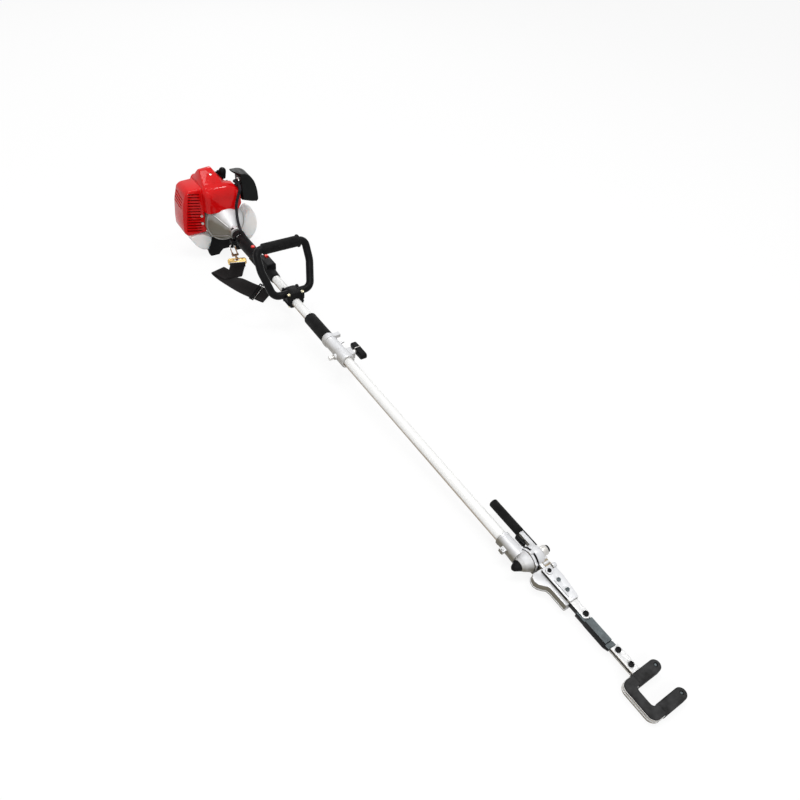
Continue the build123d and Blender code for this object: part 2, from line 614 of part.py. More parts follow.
# Centre and crosswise direction of the webbing where it leans on its lower edge
def leaning(x, y, turn, lean):
    level = math.cos(math.radians(lean))
    side = Vector(-level * math.sin(math.radians(turn)), level * math.cos(math.radians(turn)),
                  math.sin(math.radians(lean)))
    return Vector(x, y, floor_z(x) + 1.5) + side * (WEB_W / 2), side


SLIDE_AT, SLIDE_SIDE = leaning(*FLOOR_RUN[SLIDE_STEP])
SLIDE_WAY = math.radians(FLOOR_RUN[SLIDE_STEP][2])
SLIDE_OUT = Vector(math.cos(SLIDE_WAY), math.sin(SLIDE_WAY), 0).cross(SLIDE_SIDE)
SLIDE_AT = SLIDE_AT + SLIDE_OUT * 2.9


# Rectangular ring bent from round bar
def ring(centre, side, drop, half, depth, radius, corner):
    plane = Plane(origin=centre, x_dir=side, z_dir=Vector(*side).cross(Vector(*drop)))
    with BuildLine(plane) as edge:
        FilletPolyline((-half, 0), (half, 0), (half, depth), (-half, depth), radius=corner, close=True)
    with BuildSketch(Plane(origin=edge.line @ 0, z_dir=edge.line % 0)) as section:
        Circle(radius)
    sweep(section.sketch, path=edge.line)


with BuildPart() as strap_buckles:
    ring(BUCKLE_TOP, BAR_W, BUCKLE_DOWN, BUCKLE_HALF, BUCKLE_DROP, BUCKLE_R, 5)
    with Locations(Plane(origin=BUCKLE_TOP, x_dir=BAR_W, z_dir=BAR_W.cross(BUCKLE_DOWN))):
        with Locations((0, 8.6, 0)):
            Box(2 * BUCKLE_HALF, 4.8, 3)
        with Locations((17.5, 5.5, 0), (-17.5, 5.5, 0)):
            Box(19, 11, 3)
    with Locations(Plane(origin=SLIDE_AT, x_dir=SLIDE_SIDE, z_dir=SLIDE_OUT)):
        Box(60, 18, 2.4)
        Box(52, 12, 4, mode=Mode.SUBTRACT)
        Box(58, 3, 2.4)
save(strap_buckles, "strap_buckles")

# Webbing strap: round the buckle bar, down to the floor, folded back and out along the floor
BAR_AT = BUCKLE_TOP + BUCKLE_DOWN * BUCKLE_DROP
WEB_STEPS = []
for fall, lift in ((24, -1.7), (14, -2.4), (5, -4.4), (0, -4.6), (-3.25, -3.25), (-4.6, 0), (-3.25, 3.25),
                   (0, 4.6), (5, 4.4), (14, 2.4), (24, 1.7)):
    WEB_STEPS.append((BAR_AT + BUCKLE_DOWN * fall + BUCKLE_OUT * lift, BAR_W))
FOLD = Vector(17, -82, 0)
FLOOR_WAY = Vector(0.9595, 0.282, 0).normalized()
FOLD_SIDE = Vector(-0.282, 0.9595, 0).normalized()
for x, y, height, side in ((79.6, -37.5, 14.0, 0.2), (82.0, -41.5, 9.5, 0.05), (80.6, -44.5, 6.6, -0.1),
                           (75.0, -49.0, 5.4, -0.25), (58.0, -60.0, 6.4, -0.3), (34.0, -74.0, 10.2, -0.29)):
    WEB_STEPS.append((Vector(x, y, floor_z(x) + height), Vector(side, math.sqrt(1 - side * side), 0)))
for reach, height in ((8, 11.6), (1.5, 10.2), (-2.2, 6.6), (1.5, 3.0), (8, 1.7)):
    spot = FOLD + FLOOR_WAY * reach
    WEB_STEPS.append((Vector(spot.X, spot.Y, floor_z(spot.X) + height), FOLD_SIDE))
for edge in FLOOR_RUN:
    WEB_STEPS.append(leaning(*edge))
with BuildPart() as strap:
    faces = []
    for step, (centre, side) in enumerate(WEB_STEPS):
        before = WEB_STEPS[max(step - 1, 0)][0]
        after = WEB_STEPS[min(step + 1, len(WEB_STEPS) - 1)][0]
        onward = after - before
        onward = (onward - side * onward.dot(side)).normalized()
        with BuildSketch(Plane(origin=centre, x_dir=side, z_dir=onward)) as cut:
            Rectangle(WEB_W, WEB_T)
        faces.append(cut.sketch.face())
    loft(faces, ruled=True)
save(strap, "strap")

# Clamp that holds the loop handle
with BuildPart() as handle_clamp_upper:
    block((CLAMP_X - CLAMP_HALF, CLAMP_X + CLAMP_HALF), (-29, 29), (0.4, 36))
    fillet(handle_clamp_upper.edges().group_by(Axis.Z)[-1], radius=5)
    turn([(360, 0), (360, TUBE_R + GAP), (420, TUBE_R + GAP), (420, 0)], Mode.SUBTRACT)
    for side in (-1, 1):
        socket = Vector(CLAMP_X - 1.3, side * 14, LOOP_Z + 2.7)
        rod(socket, socket + Vector(0, side * 16, 0), LOOP_R + GAP, Mode.SUBTRACT)
        for along in (-17, 17):
            rod((CLAMP_X + along, side * 21, -1), (CLAMP_X + along, side * 21, 37), 2.5 + GAP, Mode.SUBTRACT)
save(handle_clamp_upper, "handle_clamp_upper")

with BuildPart() as handle_clamp_lower:
    block((CLAMP_X - CLAMP_HALF, CLAMP_X + CLAMP_HALF), (-29, 29), (-19, -0.4))
    fillet(handle_clamp_lower.edges().group_by(Axis.Z)[0], radius=5)
    turn([(360, 0), (360, TUBE_R + GAP), (420, TUBE_R + GAP), (420, 0)], Mode.SUBTRACT)
    for side in (-1, 1):
        for along in (-17, 17):
            rod((CLAMP_X + along, side * 21, 1), (CLAMP_X + along, side * 21, -14), 2.5 + GAP, Mode.SUBTRACT)
save(handle_clamp_lower, "handle_clamp_lower")

# Loop handle bent from tube, leaning back over the tube, and its foam grip
LOOP_UP = Vector(-LOOP_BACK, 0, 1).normalized()
LOOP_PLANE = Plane(origin=(CLAMP_X, 0, LOOP_Z), x_dir=(0, 1, 0), z_dir=Vector(0, 1, 0).cross(LOOP_UP))
LOOP = [(14.5, 3), (56, 3), (72, 80), (70, 139), (-80, 139), (-78, 80), (-58, 3), (-14.5, 3)]
LOOP_BENDS = [24, 60, 18, 18, 60, 24]
with BuildPart() as loop_handle:
    with BuildLine(LOOP_PLANE) as bend:
        FilletPolyline(*LOOP, radius=LOOP_BENDS)
    with BuildSketch(Plane(origin=bend.line @ 0, z_dir=bend.line % 0)):
        Circle(LOOP_R)
        Circle(LOOP_R - 2, mode=Mode.SUBTRACT)
    sweep()
save(loop_handle, "loop_handle")

with BuildPart() as loop_grip:
    foot = LOOP_PLANE.from_local_coords(Vector(-60, 139, 0))
    neck = LOOP_PLANE.from_local_coords(Vector(46, 139, 0))
    end = LOOP_PLANE.from_local_coords(Vector(51, 139, 0))
    rod(foot, neck, 15.5)
    rod(neck, end, 18)
    rod(foot, end, LOOP_R + GAP, Mode.SUBTRACT)
save(loop_grip, "loop_grip")

# Foam grip on the tube
with BuildPart() as shaft_grip:
    turn([(484, TUBE_R + GAP), (484, 18.5), (487, 20), (589, 20), (592, 18.5), (592, TUBE_R + GAP)])
save(shaft_grip, "shaft_grip")

# Coupling between the two halves of the tube
with BuildPart() as coupling_body:
    turn([(594, 0), (594, 17.5), (600, 17.5), (600, 20), (613, 20), (613, 17.5), (662, 17.5), (668, 19.5),
          (705, 19.5), (705, 0)])
    block((600, 613), (8, 30), (6, 16))
    block((664, 692), (10, 30), (-9, 9))
    rod((672, -14, 0), (672, -24, 0), 8)
    rod((644, 10, 12), (644, 22, 16), 3)
    turn([(593, 0), (593, TUBE_R + GAP), (641, TUBE_R + GAP), (641, 0)], Mode.SUBTRACT)
    turn([(640, 0), (640, TUBE_R + RUN), (706, TUBE_R + RUN), (706, 0)], Mode.SUBTRACT)
    rod((672, -10, 0), (672, -25, 0), 4 + RUN, Mode.SUBTRACT)
    rod((678, 16, 0), (678, 31, 0), 4 + RUN, Mode.SUBTRACT)
save(coupling_body, "coupling_body")

with BuildPart() as clamp_knob:
    rod((678, 17, 0), (678, 38, 0), 4)
    rod((678, 30.6, 0), (678, 40, 0), 6.5)
    block((649, 707), (38, 53), (-8.5, 8.5))
    fillet(clamp_knob.edges().filter_by(Axis.Y), radius=7)
save(clamp_knob, "clamp_knob")

with BuildPart() as lock_pin:
    rod((672, -13.6, 0), (672, -26, 0), 4)
    rod((672, -24.4, 0), (672, -38, 0), 6)
save(lock_pin, "lock_pin")

# Lower drive shaft with its square end and cone gear
with BuildPart() as lower_drive_shaft:
    block((620, 665), (-SHAFT_R, SHAFT_R), (-SHAFT_R, SHAFT_R))
    rod((660, 0, 0), (PIVOT_X - CONE_R + MESH, 0, 0), 5)
    facing = Plane(origin=(PIVOT_X - CONE_R + MESH, 0, 0), z_dir=(1, 0, 0), x_dir=(0, 1, 0))
    cone_gear(facing, CONE_R, CONE_R - CONE_H, CONE_H, 12)
save(lower_drive_shaft, "lower_drive_shaft")

# Round gear case with its tube collar and three flange lugs
with BuildPart() as gear_case:
    turn_across([(-15, 0), (-15, 12.5), (-8, 17), (2, 22), (8, 25.5), (CASE_FACE, 25.5), (CASE_FACE, 0)])
    turn([(1334, 0), (1334, 15.3), (1338, 16), (1384, 18), (1390, 18), (1390, 0)])
    block((1354, 1366), (-26, -12), (-3, 7))
    rod((1360, -22, -6), (1360, -22, 10), 3)
    for lug in (-30, 90, 210):
        spot = (PIVOT_X + 25 * math.cos(math.radians(lug)), 25 * math.sin(math.radians(lug)))
        rod((spot[0], 7, spot[1]), (spot[0], CASE_FACE, spot[1]), 4.5)
    turn([(1333, 0), (1333, TUBE_R + GAP), (1381, TUBE_R + GAP), (1381, 0)], Mode.SUBTRACT)
    turn([(1380, 0), (1380, 5 + RUN), (1395, 5 + RUN), (1395, 0)], Mode.SUBTRACT)
    turn_across([(-12, 0), (-12, 12), (-4, 15), (8, 16), (8, 0)], mode=Mode.SUBTRACT)
    turn_across([(7, 0), (7, 15 + RUN), (CASE_FACE + 1, 15 + RUN), (CASE_FACE + 1, 0)], mode=Mode.SUBTRACT)
    turn_across([(-15 - 1, 0), (-15 - 1, SHAFT_R + RUN), (-11, SHAFT_R + RUN), (-11, 0)], mode=Mode.SUBTRACT)
save(gear_case, "gear_case")

with BuildPart() as nose_cap:
    turn_across([(-15, 0), (-15, 12.5), (-28, 6.5), (-31, 3), (-31.5, 0)])
save(nose_cap, "nose_cap")

# Idler with a cone gear on each side of the joint
with BuildPart() as idler_gear:
    rod((PIVOT_X, -14.5, 0), (PIVOT_X, 44.5, 0), SHAFT_R)
    for back in (MESH - CONE_R, HEAD_SHAFT_Y - CONE_R):
        facing = Plane(origin=(PIVOT_X, back, 0), z_dir=(0, 1, 0), x_dir=(1, 0, 0))
        cone_gear(facing, CONE_R, CONE_R - CONE_H, CONE_H, 12, 15)
save(idler_gear, "idler_gear")

# Tilting head case: pivot drum, crank chamber and lever arm
BODY = [(1434, 44), (1434, -4), (1440, -10), (1449, -12.5), (1458, -10), (1465, -4), (1471, 3), (1480, 5),
        (CASE_FRONT, 5), (CASE_FRONT, 38), (1472, 44)]
FLOOR_IN = -11.1
NECK_END = 1437.5
FLANGE_W, FLANGE_H = 1.6, 3.0
HUB_TOP = 2.5
with BuildPart() as head_case:
    turn_across([(8.5, 0), (8.5, 15), (HEAD_FACE, 15), (HEAD_FACE, 24), (34, 24), (40, 20), (46, 13),
                 (46, 0)])
    slab(BODY, CASE_BOTTOM, CASE_TOP, corner=2)
    slab(BODY, CASE_BOTTOM, CASE_BOTTOM + FLANGE_H, corner=2, swell=FLANGE_W)
    block((1416, NECK_END), (HEAD_FACE, 44), (CASE_BOTTOM, 8))
    block((1346, 1388), (36, 48), (-6, 6))
    rod((1262, 42, 0), (1347, 42, 0), 6)
    turn_across([(-40, 0), (-40, SWEEP_R), (HEAD_FACE, SWEEP_R), (HEAD_FACE, 15), (8.5, 15), (8.5, 0)],
                mode=Mode.SUBTRACT)
    turn_across([(8, 0), (8, 5), (22, 5), (22, 19), (34, 19), (42, 12), (42, 0)], mode=Mode.SUBTRACT)
    rod((PIVOT_X, 41, 0), (PIVOT_X, 45, 0), SHAFT_R + RUN, Mode.SUBTRACT)
    rod((1410, HEAD_SHAFT_Y, 0), (NECK_END + 1, HEAD_SHAFT_Y, 0), 5 + RUN, Mode.SUBTRACT)
    rod((CRANK_X, CRANK_Y, FLOOR_IN), (CRANK_X, CRANK_Y, CROWN_Z0 - 0.1), 20.5, Mode.SUBTRACT)
    rod((CRANK_X, CRANK_Y, FLOOR_IN), (CRANK_X, CRANK_Y, -2), 18.5, Mode.SUBTRACT)
    block((NECK_END, 1468), (HEAD_SHAFT_Y - 6, HEAD_SHAFT_Y + 6), (-6, CASE_TOP + 1), Mode.SUBTRACT)
    rod((CRANK_X, CRANK_Y, -2.1), (CRANK_X, CRANK_Y, HUB_TOP + 0.3), 5 + RUN, Mode.SUBTRACT)
    block((1476, CASE_FRONT - 4), (14.4, 33.6), (FLOOR_IN, CASE_TOP + 1), Mode.SUBTRACT)
    block((1460, CASE_FRONT - 2.5), (8, 33.6), (FLOOR_IN, CROWN_Z0), Mode.SUBTRACT)
    block((1466, 1484), (6.4, 34), (FLOOR_IN, CROWN_Z0), Mode.SUBTRACT)
    block((1500, CASE_FRONT + 1), (14.4, 33.6), (-6.6, CASE_TOP + 1), Mode.SUBTRACT)
save(head_case, "head_case")

with BuildPart() as lever_grip:
    rod((1253, 42, 0), (1346, 42, 0), 10)
    fillet(lever_grip.edges().filter_by(GeomType.CIRCLE), radius=3)
    rod((1262 - GAP, 42, 0), (1347, 42, 0), 6 + GAP, Mode.SUBTRACT)
save(lever_grip, "lever_grip")

# Cover over the crank chamber and its screws
COVER = [(1438, 44), (1438, 13), (CASE_FRONT, 13), (CASE_FRONT, 37), (1472, 43.5)]
COVER_TOP = 12.0
COVER_SCREWS = ((1449, 24, COVER_TOP + 2), (1473, 27, COVER_TOP), (1498, 27, COVER_TOP))
with BuildPart() as head_cover:
    slab(COVER, CASE_TOP, COVER_TOP, corner=3)
    rod((1449, 24, COVER_TOP), (1449, 24, COVER_TOP + 2), 8)
    block((1437, 1468), (HEAD_SHAFT_Y - 6, HEAD_SHAFT_Y + 6), (CASE_TOP - 1, 6), Mode.SUBTRACT)
    block((1476, CASE_FRONT + 1), (14.4, 33.6), (CASE_TOP - 1, 8.2), Mode.SUBTRACT)
    for spot in COVER_SCREWS:
        rod(spot, (spot[0], spot[1], spot[2] - 3.2), 2.5 + GAP, Mode.SUBTRACT)
save(head_cover, "head_cover")

with BuildPart() as head_screws:
    for spot in COVER_SCREWS:
        screw(spot, (0, 0, 1), 4.2, 3, 2.5, 3)
    rod((PIVOT_X, 46, 0), (PIVOT_X, 60, 0), 11)
    rod((PIVOT_X, 60, 0), (PIVOT_X, 66, 0), 8)
save(head_screws, "head_screws")

# Tilt latch beside the lever
with BuildPart() as tilt_latch:
    block((1347, 1375), (24, 31), (-3, 8))
    fillet(tilt_latch.edges().filter_by(Axis.Z), radius=3)
    rod((1364, 22, 2), (1364, 35.5, 2), 2)
save(tilt_latch, "tilt_latch")

# Head shaft, crank gear and link
with BuildPart() as head_shaft:
    facing = Plane(origin=(PIVOT_X + CONE_R + 1.6, HEAD_SHAFT_Y, 0), z_dir=(-1, 0, 0), x_dir=(0, 1, 0))
    cone_gear(facing, CONE_R, CONE_R - CONE_H, CONE_H, 12)
    rod((PIVOT_X + CONE_R + 1.6, HEAD_SHAFT_Y, 0), (NECK_END, HEAD_SHAFT_Y, 0), 5)
    rod((NECK_END, HEAD_SHAFT_Y, 0), (1466, HEAD_SHAFT_Y, 0), PINION_R)
    for tooth in range(8):
        angle = math.radians(45 * tooth)
        spot = (HEAD_SHAFT_Y + PINION_R * math.cos(angle), PINION_R * math.sin(angle))
        rod((1442, *spot), (1467, *spot), 1.1, Mode.SUBTRACT)
save(head_shaft, "head_shaft")

CRANK_PIN = (CRANK_X - HEAD_THROW, CRANK_Y)
with BuildPart() as crank_gear:
    rod((CRANK_X, CRANK_Y, CROWN_Z0), (CRANK_X, CRANK_Y, CROWN_Z1), 17)
    with Locations((CRANK_X, CRANK_Y, CROWN_Z1)):
        with PolarLocations(14, 24):
            Box(7, 1.8, 2, mode=Mode.SUBTRACT)
    rod((*CRANK_PIN, CROWN_Z0), (*CRANK_PIN, CROWN_Z0 - 0.3), 4)
    rod((CRANK_X, CRANK_Y, CROWN_Z1 - 1), (CRANK_X, CRANK_Y, HUB_TOP), 5)
save(crank_gear, "crank_gear")

with BuildPart() as link:
    rod((*CRANK_PIN, LINK_Z0), (*CRANK_PIN, LINK_Z1), 5.5)
    rod((SLIDER_X, CRANK_Y, LINK_Z0), (SLIDER_X, CRANK_Y, LINK_Z1), 6)
    block((CRANK_PIN[0], SLIDER_X), (CRANK_Y - 3.5, CRANK_Y + 3.5), (LINK_Z0, LINK_Z1))
    rod((*CRANK_PIN, LINK_Z0 - 1), (*CRANK_PIN, LINK_Z1 + 1), 4, Mode.SUBTRACT)
    rod((SLIDER_X, CRANK_Y, LINK_Z0 - 1), (SLIDER_X, CRANK_Y, LINK_Z1 + 1), 3.5 + RUN, Mode.SUBTRACT)
save(link, "link")

# Flat bar with a round end
def strip(x0, x1, half, z0, z1, holes, hole_r):
    with BuildSketch(Plane.XY.offset(z0)) as flat:
        with Locations(((x0 + x1 - half) / 2, HEAD_Y)):
            Rectangle(x1 - half - x0, 2 * half)
        with Locations((x1 - half, HEAD_Y)):
            Circle(half)
        for x in holes:
            with Locations((x, HEAD_Y)):
                Circle(hole_r, mode=Mode.SUBTRACT)
    extrude(flat.sketch, amount=z1 - z0)


BOLT_R = 3.0
BAR_BOTTOM = -6.0
with BuildPart() as slide_bars:
    strip(1484, 1562, 9, TOP_PLATE, TOP_PLATE + PLATE_T, [BAR_BOLT_X], BOLT_R + GAP)
    block((1484, 1540), (15, 33), (BAR_BOTTOM, TOP_PLATE))
    block((1483, 1493), (15, 33), (LINK_Z1 + 0.4, TOP_PLATE))
    rod((SLIDER_X, CRANK_Y, LINK_Z0), (SLIDER_X, CRANK_Y, BAR_BOTTOM), 3.5)
save(slide_bars, "slide_bars")

# Dark block between the bar and the hook, stepped down to a tang at each end
BLOCK_TOP, BLOCK_BOTTOM = 10.0, -8.0
with BuildPart() as drive_block:
    block((1564, 1622), (11, 29), (BLOCK_BOTTOM, BLOCK_TOP))
    fillet(drive_block.edges().filter_by(Axis.X), radius=1.5)
    block((1541, 1570), (12, 29), (BLOCK_BOTTOM, TOP_PLATE))
    block((1618, 1676), (15, 31), (LOW_PLATE + PLATE_T, TOP_PLATE))
    for x in (BAR_BOLT_X, *SHANK_BOLTS):
        rod((x, HEAD_Y, BLOCK_BOTTOM - 1), (x, HEAD_Y, TOP_PLATE + 1), BOLT_R + GAP, Mode.SUBTRACT)
save(drive_block, "drive_block")

# Hook: two steel plates and a rubber pad on the outside of each
HOOK = [(HOOK_X0, HOOK_TIP_Y), (HOOK_X0, HOOK_SPINE_Y), (HOOK_X1, HOOK_SPINE_Y), (HOOK_X1, HOOK_TIP_Y),
        (HOOK_X1 - PRONG, HOOK_TIP_Y), (HOOK_X1 - PRONG, HOOK_SPINE_Y + PRONG),
        (HOOK_X0 + PRONG, HOOK_SPINE_Y + PRONG), (HOOK_X0 + PRONG, HOOK_TIP_Y)]
HOOK_BENDS = [10.4, 16, 16, 10.4, 10.4, 7, 7, 10.4]


def hook_layer(z0, z1, trim):
    with BuildSketch(Plane.XY.offset(z0)) as outline:
        with BuildLine():
            FilletPolyline(*HOOK, radius=HOOK_BENDS, close=True)
        make_face()
        if trim > 0:
            offset(amount=-trim)
    extrude(outline.sketch, amount=z1 - z0)


with BuildPart() as hook_plates:
    for z0 in (LOW_PLATE, TOP_PLATE):
        hook_layer(z0, z0 + PLATE_T, 0.0)
        block((1627, 1690), (14.5, 33.5), (z0, z0 + PLATE_T))
        for x in SHANK_BOLTS:
            rod((x, HEAD_Y, z0 - 1), (x, HEAD_Y, z0 + PLATE_T + 1), BOLT_R + GAP, Mode.SUBTRACT)
save(hook_plates, "hook_plates")

PAD_TOP = TOP_PLATE + PLATE_T + PAD_T
with BuildPart() as hook_pads:
    hook_layer(PAD_TOP - PAD_T, PAD_TOP, 0.8)
    hook_layer(LOW_PLATE - PAD_T, LOW_PLATE, 0.8)
    for x in (HOOK_X0 + PRONG / 2, HOOK_X1 - PRONG / 2):
        rod((x, HOOK_TIP_Y - 12, PAD_TOP + 1), (x, HOOK_TIP_Y - 12, PAD_TOP - 1.5), 3.5, Mode.SUBTRACT)
save(hook_pads, "hook_pads")

# Bolts through the bar, the block and the hook shank
with BuildPart() as hook_bolts:
    top = TOP_PLATE + PLATE_T
    for x, under in ((BAR_BOLT_X, BLOCK_BOTTOM), (SHANK_BOLTS[0], LOW_PLATE), (SHANK_BOLTS[1], LOW_PLATE)):
        rod((x, HEAD_Y, under), (x, HEAD_Y, top), BOLT_R)
        rod((x, HEAD_Y, top), (x, HEAD_Y, top + 4), 5.5)
        rod((x, HEAD_Y, top + 2), (x, HEAD_Y, top + 5), 2.8, Mode.SUBTRACT)
        rod((x, HEAD_Y, under - 4), (x, HEAD_Y, under), 5)
save(hook_bolts, "hook_bolts")

# Screws of the handle clamp, the covers and the grip
with BuildPart() as fixing_screws:
    for side in (-1, 1):
        for along in (-17, 17):
            screw((CLAMP_X + along, side * 21, 36), (0, 0, 1), 4.5, 3.5, 2.5, 48)
    for spot in GUARD_SCREWS:
        screw((GUARD_FRONT, *spot), (1, 0, 0), 4.5, 3, 2, 4)
save(fixing_screws, "fixing_screws")
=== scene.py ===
# Looks of the petrol olive harvester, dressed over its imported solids.
# Pieces are drawn in the tool's own millimetres, +X along the pole to the hook, +Y to the air filter side
# and +Z up, and TOOL then sets them down in the row frame.
import json
import math

import bmesh
import bpy
from mathutils import Matrix, Vector
from mathutils.bvhtree import BVHTree


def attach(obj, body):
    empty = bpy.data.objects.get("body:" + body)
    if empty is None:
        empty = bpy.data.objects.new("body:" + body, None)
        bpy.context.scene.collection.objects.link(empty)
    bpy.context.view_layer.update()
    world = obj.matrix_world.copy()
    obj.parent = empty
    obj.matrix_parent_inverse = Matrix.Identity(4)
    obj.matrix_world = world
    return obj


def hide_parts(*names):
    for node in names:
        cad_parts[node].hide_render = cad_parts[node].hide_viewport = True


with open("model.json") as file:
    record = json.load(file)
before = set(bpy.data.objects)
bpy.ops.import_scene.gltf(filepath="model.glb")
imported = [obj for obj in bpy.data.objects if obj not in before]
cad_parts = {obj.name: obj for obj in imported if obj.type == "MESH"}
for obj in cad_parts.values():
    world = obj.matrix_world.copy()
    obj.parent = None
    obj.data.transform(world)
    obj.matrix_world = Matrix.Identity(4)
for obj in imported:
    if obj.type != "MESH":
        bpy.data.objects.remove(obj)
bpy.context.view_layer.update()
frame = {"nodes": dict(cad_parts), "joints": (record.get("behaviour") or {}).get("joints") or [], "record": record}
NODES = frame["nodes"]
JOINTS = {joint["name"]: joint for joint in frame["joints"]}
BODY_OF = {node: body for body, nodes in frame["record"]["behaviour"]["bodies"].items() for node in nodes}

# Place of the tool in the row frame, read from the drive shaft's joint
MM = 0.001
DRIVE_X = 300.0
ALONG = Vector(JOINTS["drive_spin"]["axis"])
ACROSS = Vector((0.0, 1.0, 0.0))
UPWARD = ALONG.cross(ACROSS)
TURN = Matrix((ALONG, ACROSS, UPWARD)).transposed()
TOOL_ORIGIN = Vector(JOINTS["drive_spin"]["pos_m"]) - ALONG * DRIVE_X * MM
TOOL = Matrix.Translation(TOOL_ORIGIN) @ TURN.to_4x4() @ Matrix.Scale(MM, 4)
FLOOR_SLOPE = -ALONG.z / ALONG.x

# Camera of the photograph, in the tool's millimetres
CAMERA_AT = Vector((1823.3, -707.8, 1137.2))
CAMERA_RIGHT = Vector((0.5516, 0.8289, 0.0928))
CAMERA_AHEAD = Vector((-0.5655, 0.4534, -0.6890))
CAMERA_LENS = 29.91


def set_camera():
    data = bpy.data.cameras.new("photo_camera")
    data.lens = CAMERA_LENS
    data.sensor_width = 36.0
    data.clip_start = 0.01
    data.clip_end = 200.0
    camera = bpy.data.objects.new("photo_camera", data)
    bpy.context.scene.collection.objects.link(camera)
    right = (TURN @ CAMERA_RIGHT).normalized()
    ahead = (TURN @ CAMERA_AHEAD).normalized()
    above = right.cross(ahead).normalized()
    right = ahead.cross(above)
    pose = Matrix((right, above, -ahead)).transposed().to_4x4()
    camera.matrix_world = Matrix.Translation(TOOL @ CAMERA_AT) @ pose
    bpy.context.scene.camera = camera


set_camera()


# Finish helpers: each finish is one shader with patterns on the piece's own coordinates
SOCKETS = {"metallic": "Metallic", "roughness": "Roughness", "specular": "Specular IOR Level",
           "coat": "Coat Weight", "coat_roughness": "Coat Roughness", "sheen": "Sheen Weight",
           "depth": "Subsurface Weight", "depth_radius": "Subsurface Radius",
           "depth_scale": "Subsurface Scale"}
NOISE_LOW, NOISE_HIGH = 0.3, 0.7
# Share of grain that breaks up the painted shade
SHADE_GRAIN = 0.25


def new_finish(name, **levels):
    finish = bpy.data.materials.new(name)
    finish.use_nodes = True
    shader = finish.node_tree.nodes["Principled BSDF"]
    for level, value in levels.items():
        shader.inputs[SOCKETS[level]].default_value = value
    return finish, shader


def add_node(finish, kind, **settings):
    node = finish.node_tree.nodes.new(kind)
    for key, value in settings.items():
        setattr(node, key, value)
    return node


def wire(finish, source, target):
    finish.node_tree.links.new(source, target)


def coordinates(finish, stretch=(1.0, 1.0, 1.0), source="Object"):
    place = add_node(finish, "ShaderNodeTexCoord")
    mapping = add_node(finish, "ShaderNodeMapping")
    mapping.inputs["Scale"].default_value = stretch
    wire(finish, place.outputs[source], mapping.inputs["Vector"])
    return mapping.outputs["Vector"]


def mottle(finish, scale, detail=3.0, roughness=0.55, stretch=(1.0, 1.0, 1.0)):
    noise = add_node(finish, "ShaderNodeTexNoise")
    noise.inputs["Scale"].default_value = scale
    noise.inputs["Detail"].default_value = detail
    noise.inputs["Roughness"].default_value = roughness
    wire(finish, coordinates(finish, stretch), noise.inputs["Vector"])
    return noise.outputs["Fac"]


def cells(finish, scale):
    pattern = add_node(finish, "ShaderNodeTexVoronoi", feature="F1")
    pattern.inputs["Scale"].default_value = scale
    wire(finish, coordinates(finish), pattern.inputs["Vector"])
    return pattern.outputs["Distance"]


def colour_between(finish, shader, pattern, dark, light, low=0.35, high=0.65):
    ramp = add_node(finish, "ShaderNodeValToRGB")
    ramp.color_ramp.elements[0].position = low
    ramp.color_ramp.elements[0].color = (*dark, 1.0)
    ramp.color_ramp.elements[1].position = high
    ramp.color_ramp.elements[1].color = (*light, 1.0)
    wire(finish, pattern, ramp.inputs["Fac"])
    wire(finish, ramp.outputs["Color"], shader.inputs["Base Color"])


def gloss_between(finish, shader, pattern, smooth, rough):
    spread = add_node(finish, "ShaderNodeMapRange")
    spread.inputs["From Min"].default_value = NOISE_LOW
    spread.inputs["From Max"].default_value = NOISE_HIGH
    spread.inputs["To Min"].default_value = smooth
    spread.inputs["To Max"].default_value = rough
    wire(finish, pattern, spread.inputs["Value"])
    wire(finish, spread.outputs["Result"], shader.inputs["Roughness"])


def relief(finish, shader, pattern, depth, strength):
    bump = add_node(finish, "ShaderNodeBump")
    bump.inputs["Strength"].default_value = strength
    bump.inputs["Distance"].default_value = depth
    wire(finish, pattern, bump.inputs["Height"])
    wire(finish, bump.outputs["Normal"], shader.inputs["Normal"])


# Finish with mottled colour and gloss over a grained relief. Colour and gloss are given as scale, detail and
# two ends, grain as scale, detail, depth and strength, each with more for its pattern where that is needed.
# A grain without detail is made of cells.
def varied_finish(name, colour, gloss, grain, **levels):
    finish, shader = new_finish(name, **levels)
    scale, detail, dark, light = colour
    colour_between(finish, shader, mottle(finish, scale, detail), dark, light)
    scale, detail, smooth, rough, *more = gloss
    gloss_between(finish, shader, mottle(finish, scale, detail, *more), smooth, rough)
    scale, detail, depth, strength, *more = grain
    height = mottle(finish, scale, detail, *more) if detail else cells(finish, scale)
    relief(finish, shader, height, depth, strength)
    return finish


# Share of painted shade from the piece's own attribute, broken up by grain
def painted_shade_share(finish, grain):
    shade = add_node(finish, "ShaderNodeAttribute", attribute_name="painted_shade_share")
    mixed = add_node(finish, "ShaderNodeMath", operation="MULTIPLY_ADD")
    mixed.inputs[1].default_value = SHADE_GRAIN
    wire(finish, grain, mixed.inputs[0])
    wire(finish, shade.outputs["Fac"], mixed.inputs[2])
    return mixed.outputs["Value"]


# Cast alloy: bright on top, with olive painted shade where it faces down and away from the light
def cast_alloy(name, shade_colour):
    finish, shader = new_finish(name, metallic=0.15)
    shaded = painted_shade_share(finish, mottle(finish, 40.0, 6.0))
    colour_between(finish, shader, shaded, (0.62, 0.625, 0.64), shade_colour, 0.42, 0.79)
    gloss_between(finish, shader, mottle(finish, 160.0, 6.0), 0.3, 0.5)
    relief(finish, shader, mottle(finish, 900.0, 4.0, 0.7), 0.00008, 0.25)
    return finish
